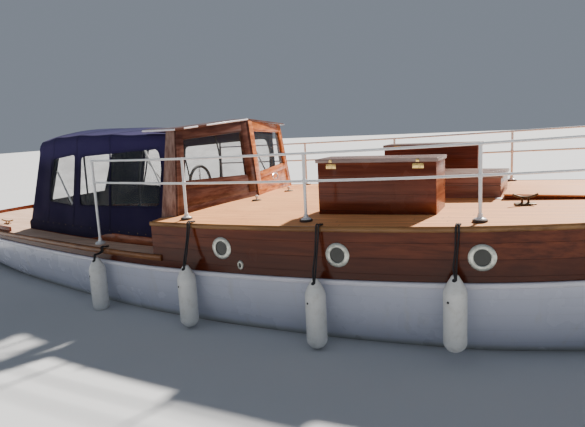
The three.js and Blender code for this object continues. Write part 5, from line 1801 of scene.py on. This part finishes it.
class CRUISER_OT_fittings(PieceMaker, bpy.types.Operator):
    """Mooring post, cleats and small deck fittings"""

    bl_idname = "cruiser.fittings"
    bl_label = "Deck Fittings"

    def execute(self, context):
        low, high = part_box("mooring_post")
        bm = bmesh.new()
        foot = foredeck_top(POST_X, 0) - 0.010
        block(bm, (POST_X - 0.048, -0.048, foot), (POST_X + 0.048, 0.048, high.z), 0.010, 3)
        pin = axes((POST_X, -0.130, foot + 0.210), (0, 0, 1), (0, 1, 0))
        lathe(bm, [(0.0, 0.0), (0.012, 0.001), (0.014, 0.006), (0.014, 0.254), (0.012, 0.259),
                   (0.0, 0.260)], pin, 20, material=1)
        piece(bm, "mooring_bitt", ["plain", "bronze"], ["mooring_post"])
        bm = bmesh.new()
        for x, y, turn in ((-4.55, 0.60, 0.0), (-4.55, -0.60, 0.0), (3.55, 0.72, -0.35), (3.55, -0.72, 0.35)):
            self.cleat(bm, Matrix.Translation((x, y, deck_top(x, y))) @ Matrix.Rotation(turn, 4, "Z"))
        piece(bm, "cleats", ["bronze"])
        bm = bmesh.new()
        x, y = 2.352, -0.700
        large = Matrix.Translation((x, y, foredeck_top(x, y))) @ Matrix.Rotation(0.3, 4, "Z")
        block(bm, (-0.085, -0.040, 0.0), (0.085, 0.040, 0.012), 0.004, place=large)
        self.cleat(bm, large @ Matrix.Diagonal((0.85, 2.3, 1.7, 1.0)))
        for x, y in ((-0.460, -0.400), (-0.460, 0.400)):
            pad = Matrix.Translation((x, y, foredeck_top(x, y)))
            lathe(bm, [(0.0, -0.006), (0.056, -0.006), (0.056, 0.006), (0.050, 0.010), (0.0, 0.010)], pad, 28)
            lathe(bm, [(0.010, 0.008), (0.008, 0.020), (0.012, 0.030), (0.019, 0.040), (0.020, 0.050),
                       (0.014, 0.060), (0.0, 0.063)], pad, 20, material=1)
        x, y = 2.111, -0.389
        lathe(bm, [(0.0, 0.010), (0.026, 0.009), (0.036, 0.005), (0.038, -0.004)],
              Matrix.Translation((x, y, foredeck_top(x, y))), 28, material=1)
        piece(bm, "deck_fairleads", ["dark_bronze", "rail"])
        return {"FINISHED"}

    @staticmethod
    def cleat(bm, place):
        block(bm, (-0.060, -0.022, 0.0), (0.060, 0.022, 0.008), 0.003, place=place)
        for x in (-0.030, 0.030):
            foot = place @ Matrix.Translation((x, 0, 0))
            lathe(bm, [(0.012, 0.006), (0.009, 0.020), (0.010, 0.036)], foot, 16)
        horn = [(-0.120, 0, 0.052), (-0.070, 0, 0.042), (0, 0, 0.038), (0.070, 0, 0.042), (0.120, 0, 0.052)]
        tube(bm, [place @ p for p in flow(horn, 6)], 0.010, 4)


# Fenders
class CRUISER_OT_fenders(PieceMaker, bpy.types.Operator):
    """Inflated fenders on doubled lanyards along the starboard side"""

    bl_idname = "cruiser.fenders"
    bl_label = "Fenders"

    def execute(self, context):
        for k, (x, eye) in enumerate(FENDERS):
            self.fender(k + 1, x, eye)
        return {"FINISHED"}

    @staticmethod
    def fender(number, x, eye):
        y = -max(deck_half(x) + MOULDING_OUT + 0.004, strake_half(x) + STRAKE_OUT + FENDER_R + 0.004)
        low = eye - 0.070 - FENDER_LONG
        r = FENDER_R
        stand = Matrix.Translation((x, y, 0))
        bm = bmesh.new()
        skin = flow([(r * 0.0, 0, low + 0.016), (r * 0.30, 0, low + 0.004), (r * 0.62, 0, low + 0.018),
                     (r * 0.90, 0, low + 0.052), (r, 0, low + 0.105), (r, 0, eye - 0.185),
                     (r * 0.96, 0, eye - 0.125), (r * 0.78, 0, eye - 0.075), (r * 0.55, 0, eye - 0.035),
                     (0.034, 0, eye - 0.008), (0.026, 0, eye + 0.006)], 5)
        lathe(bm, [(min(max(0.0, p.x), r * 0.955), p.z) for p in skin], stand, 40)
        lathe(bm, [(0.026, eye + 0.006), (0.020, eye + 0.011), (0.0, eye + 0.012)], stand, 24)
        for facing in (-1, 1):
            hole = axes((x, y + facing * 0.040, eye - 0.022), (0, 0, 1), (0, facing, 0.45))
            lathe(bm, [(0.0, 0.0045), (0.013, 0.0040), (0.016, 0.0010), (0.017, -0.012)],
                  hole, 16, material=1)
        for z in (low + 0.105, eye - 0.185):
            lathe(bm, [(r * 0.95, z - 0.004), (r * 0.97, z), (r * 0.95, z + 0.004)], stand, 40)
        valve = axes((x - 0.038, y - r * 0.865, eye - 0.182), (0, 0, 1), (-0.45, -0.87, 0))
        lathe(bm, [(0.0, 0.003), (0.009, 0.002), (0.012, -0.004)], valve, 14, material=1)
        edge = aft_edge(x) if x < BREAK_X else raised_edge(x)
        over = -deck_half(x) - MOULDING_OUT - 0.014
        for shift in (-0.008, 0.008):
            line = [(x + 0.010 + shift * 0.4, y - 0.036, eye - 0.024),
                    (x + 0.006 + shift * 0.8, y - 0.026, eye + 0.014),
                    (x + shift * 1.2, y - 0.008, eye + 0.040),
                    (x + shift, (y + over) / 2, (eye + edge) / 2),
                    (x + shift * 1.4, over, edge - 0.024), (x + shift * 1.4, over + 0.006, edge + 0.014),
                    (x + shift * 1.4, over + 0.028, edge + 0.022),
                    (x + shift, -deck_half(x) + 0.020, edge + 0.015),
                    (x + shift, -deck_half(x) + 0.062, edge + 0.011)]
            tube(bm, flow(line, 6), 0.0075, 3, material=2)
        piece(bm, f"fender_{number}_and_lanyard",
              ["fender", "rubber", "black_line"], [f"fender_{number}"])


# Stern gear
class CRUISER_OT_screw(PieceMaker, bpy.types.Operator):
    """Propeller and its shaft"""

    bl_idname = "cruiser.screw"
    bl_label = "Propeller"

    def execute(self, context):
        bm = bmesh.new()
        node_shape(bm, "propeller", 0.004, 2, angle=50.0)
        tail = axes((SCREW_X - 0.044, 0, SHAFT_Z), (0, 0, 1), (-1, 0, 0))
        lathe(bm, [(0.030, 0.0), (0.026, 0.018), (0.016, 0.034), (0.0, 0.040)], tail, 24)
        piece(bm, "screw", ["bronze"], ["propeller"], "propeller")
        node_piece("propeller_shaft", "tail_shaft", "bronze", 0.0, body="propeller")
        return {"FINISHED"}


# Stage
class CRUISER_OT_stage(PieceMaker, bpy.types.Operator):
    """Camera, key light, fill light and a pale floor at the waterline"""

    bl_idname = "cruiser.stage"
    bl_label = "Stage"

    def execute(self, context):
        wanted = context.scene.cruiser_stage
        camera = bpy.data.cameras.new("camera")
        camera.lens = wanted.lens
        camera.sensor_width = 36.0
        camera.clip_end = 200.0
        holder = linked("camera", camera)
        yaw, pitch, roll = wanted.heading, wanted.pitch, wanted.roll
        forward = Vector((math.sin(yaw) * math.cos(pitch), math.cos(yaw) * math.cos(pitch), -math.sin(pitch)))
        level = Vector((math.cos(yaw), -math.sin(yaw), 0))
        above = level.cross(forward)
        right = level * math.cos(roll) - above * math.sin(roll)
        up = level * math.sin(roll) + above * math.cos(roll)
        place = Matrix((right, up, -forward)).transposed().to_4x4()
        place.translation = wanted.eye
        holder.matrix_world = place
        context.scene.camera = holder

        lamp = bpy.data.lights.new("key", "SUN")
        lamp.energy = wanted.sun
        lamp.angle = math.radians(3.0)
        lamp.color = (1.0, 0.95, 0.88)
        key = linked("key", lamp)
        across = math.cos(wanted.sun_height)
        source = Vector((math.sin(wanted.sun_forward) * across, math.cos(wanted.sun_forward) * across,
                         math.sin(wanted.sun_height)))
        key.rotation_euler = source.to_track_quat("Z", "Y").to_euler()

        world = bpy.data.worlds.new("fill")
        world.use_nodes = True
        ground = world.node_tree.nodes["Background"]
        ground.inputs["Color"].default_value = (0.74, 0.84, 1.0, 1.0)
        ground.inputs["Strength"].default_value = wanted.sky
        context.scene.world = world

        bm = bmesh.new()
        bmesh.ops.create_grid(bm, x_segments=1, y_segments=1, size=60.0)
        floor = linked("floor", mesh_of("floor", bm))
        s = Shade("pale_floor")
        patch = s.noise(s.place(), 0.6, 3.0, 0.5)
        tone = s.mix(patch, (0.60, 0.61, 0.62), (0.66, 0.67, 0.68))
        floor.data.materials.append(s.surface(Base_Color=tone, Roughness=0.9))
        return {"FINISHED"}


class CRUISER_PT_sidebar(bpy.types.Panel):
    """Lists what can be changed and made."""

    bl_idname = "CRUISER_PT_sidebar"
    bl_label = "Motor Cruiser"
    bl_space_type = "VIEW_3D"
    bl_region_type = "UI"
    bl_category = "Cruiser"

    def draw(self, context):
        scene = context.scene
        for group in (scene.cruiser_colours, scene.cruiser_sizes, scene.cruiser_stage):
            column = self.layout.column(align=True)
            for key in group.bl_rna.properties.keys():
                if key not in {"rna_type", "name"}:
                    column.prop(group, key)
        for maker in MAKERS:
            self.layout.operator(maker.bl_idname)


MAKERS = (
    CRUISER_OT_stage, CRUISER_OT_hull, CRUISER_OT_topsides, CRUISER_OT_decks, CRUISER_OT_mouldings,
    CRUISER_OT_portholes, CRUISER_OT_cockpit, CRUISER_OT_helm, CRUISER_OT_windscreen, CRUISER_OT_canopy,
    CRUISER_OT_rails, CRUISER_OT_deck_boxes, CRUISER_OT_locker, CRUISER_OT_fittings, CRUISER_OT_fenders,
    CRUISER_OT_screw,
)
GROUPS = (("cruiser_colours", CruiserColours), ("cruiser_sizes", CruiserSizes),
          ("cruiser_stage", CruiserStage))


def register():
    for name, group in GROUPS:
        bpy.utils.register_class(group)
        setattr(bpy.types.Scene, name, PointerProperty(type=group))
    for maker in (*MAKERS, CRUISER_PT_sidebar):
        bpy.utils.register_class(maker)


def unregister():
    for maker in (CRUISER_PT_sidebar, *reversed(MAKERS)):
        bpy.utils.unregister_class(maker)
    for name, group in reversed(GROUPS):
        delattr(bpy.types.Scene, name)
        bpy.utils.unregister_class(group)


def main():
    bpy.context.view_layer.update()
    register()
    for maker in MAKERS:
        family, name = maker.bl_idname.split(".")
        getattr(getattr(bpy.ops, family), name)()


if __name__ == "__main__":
    main()
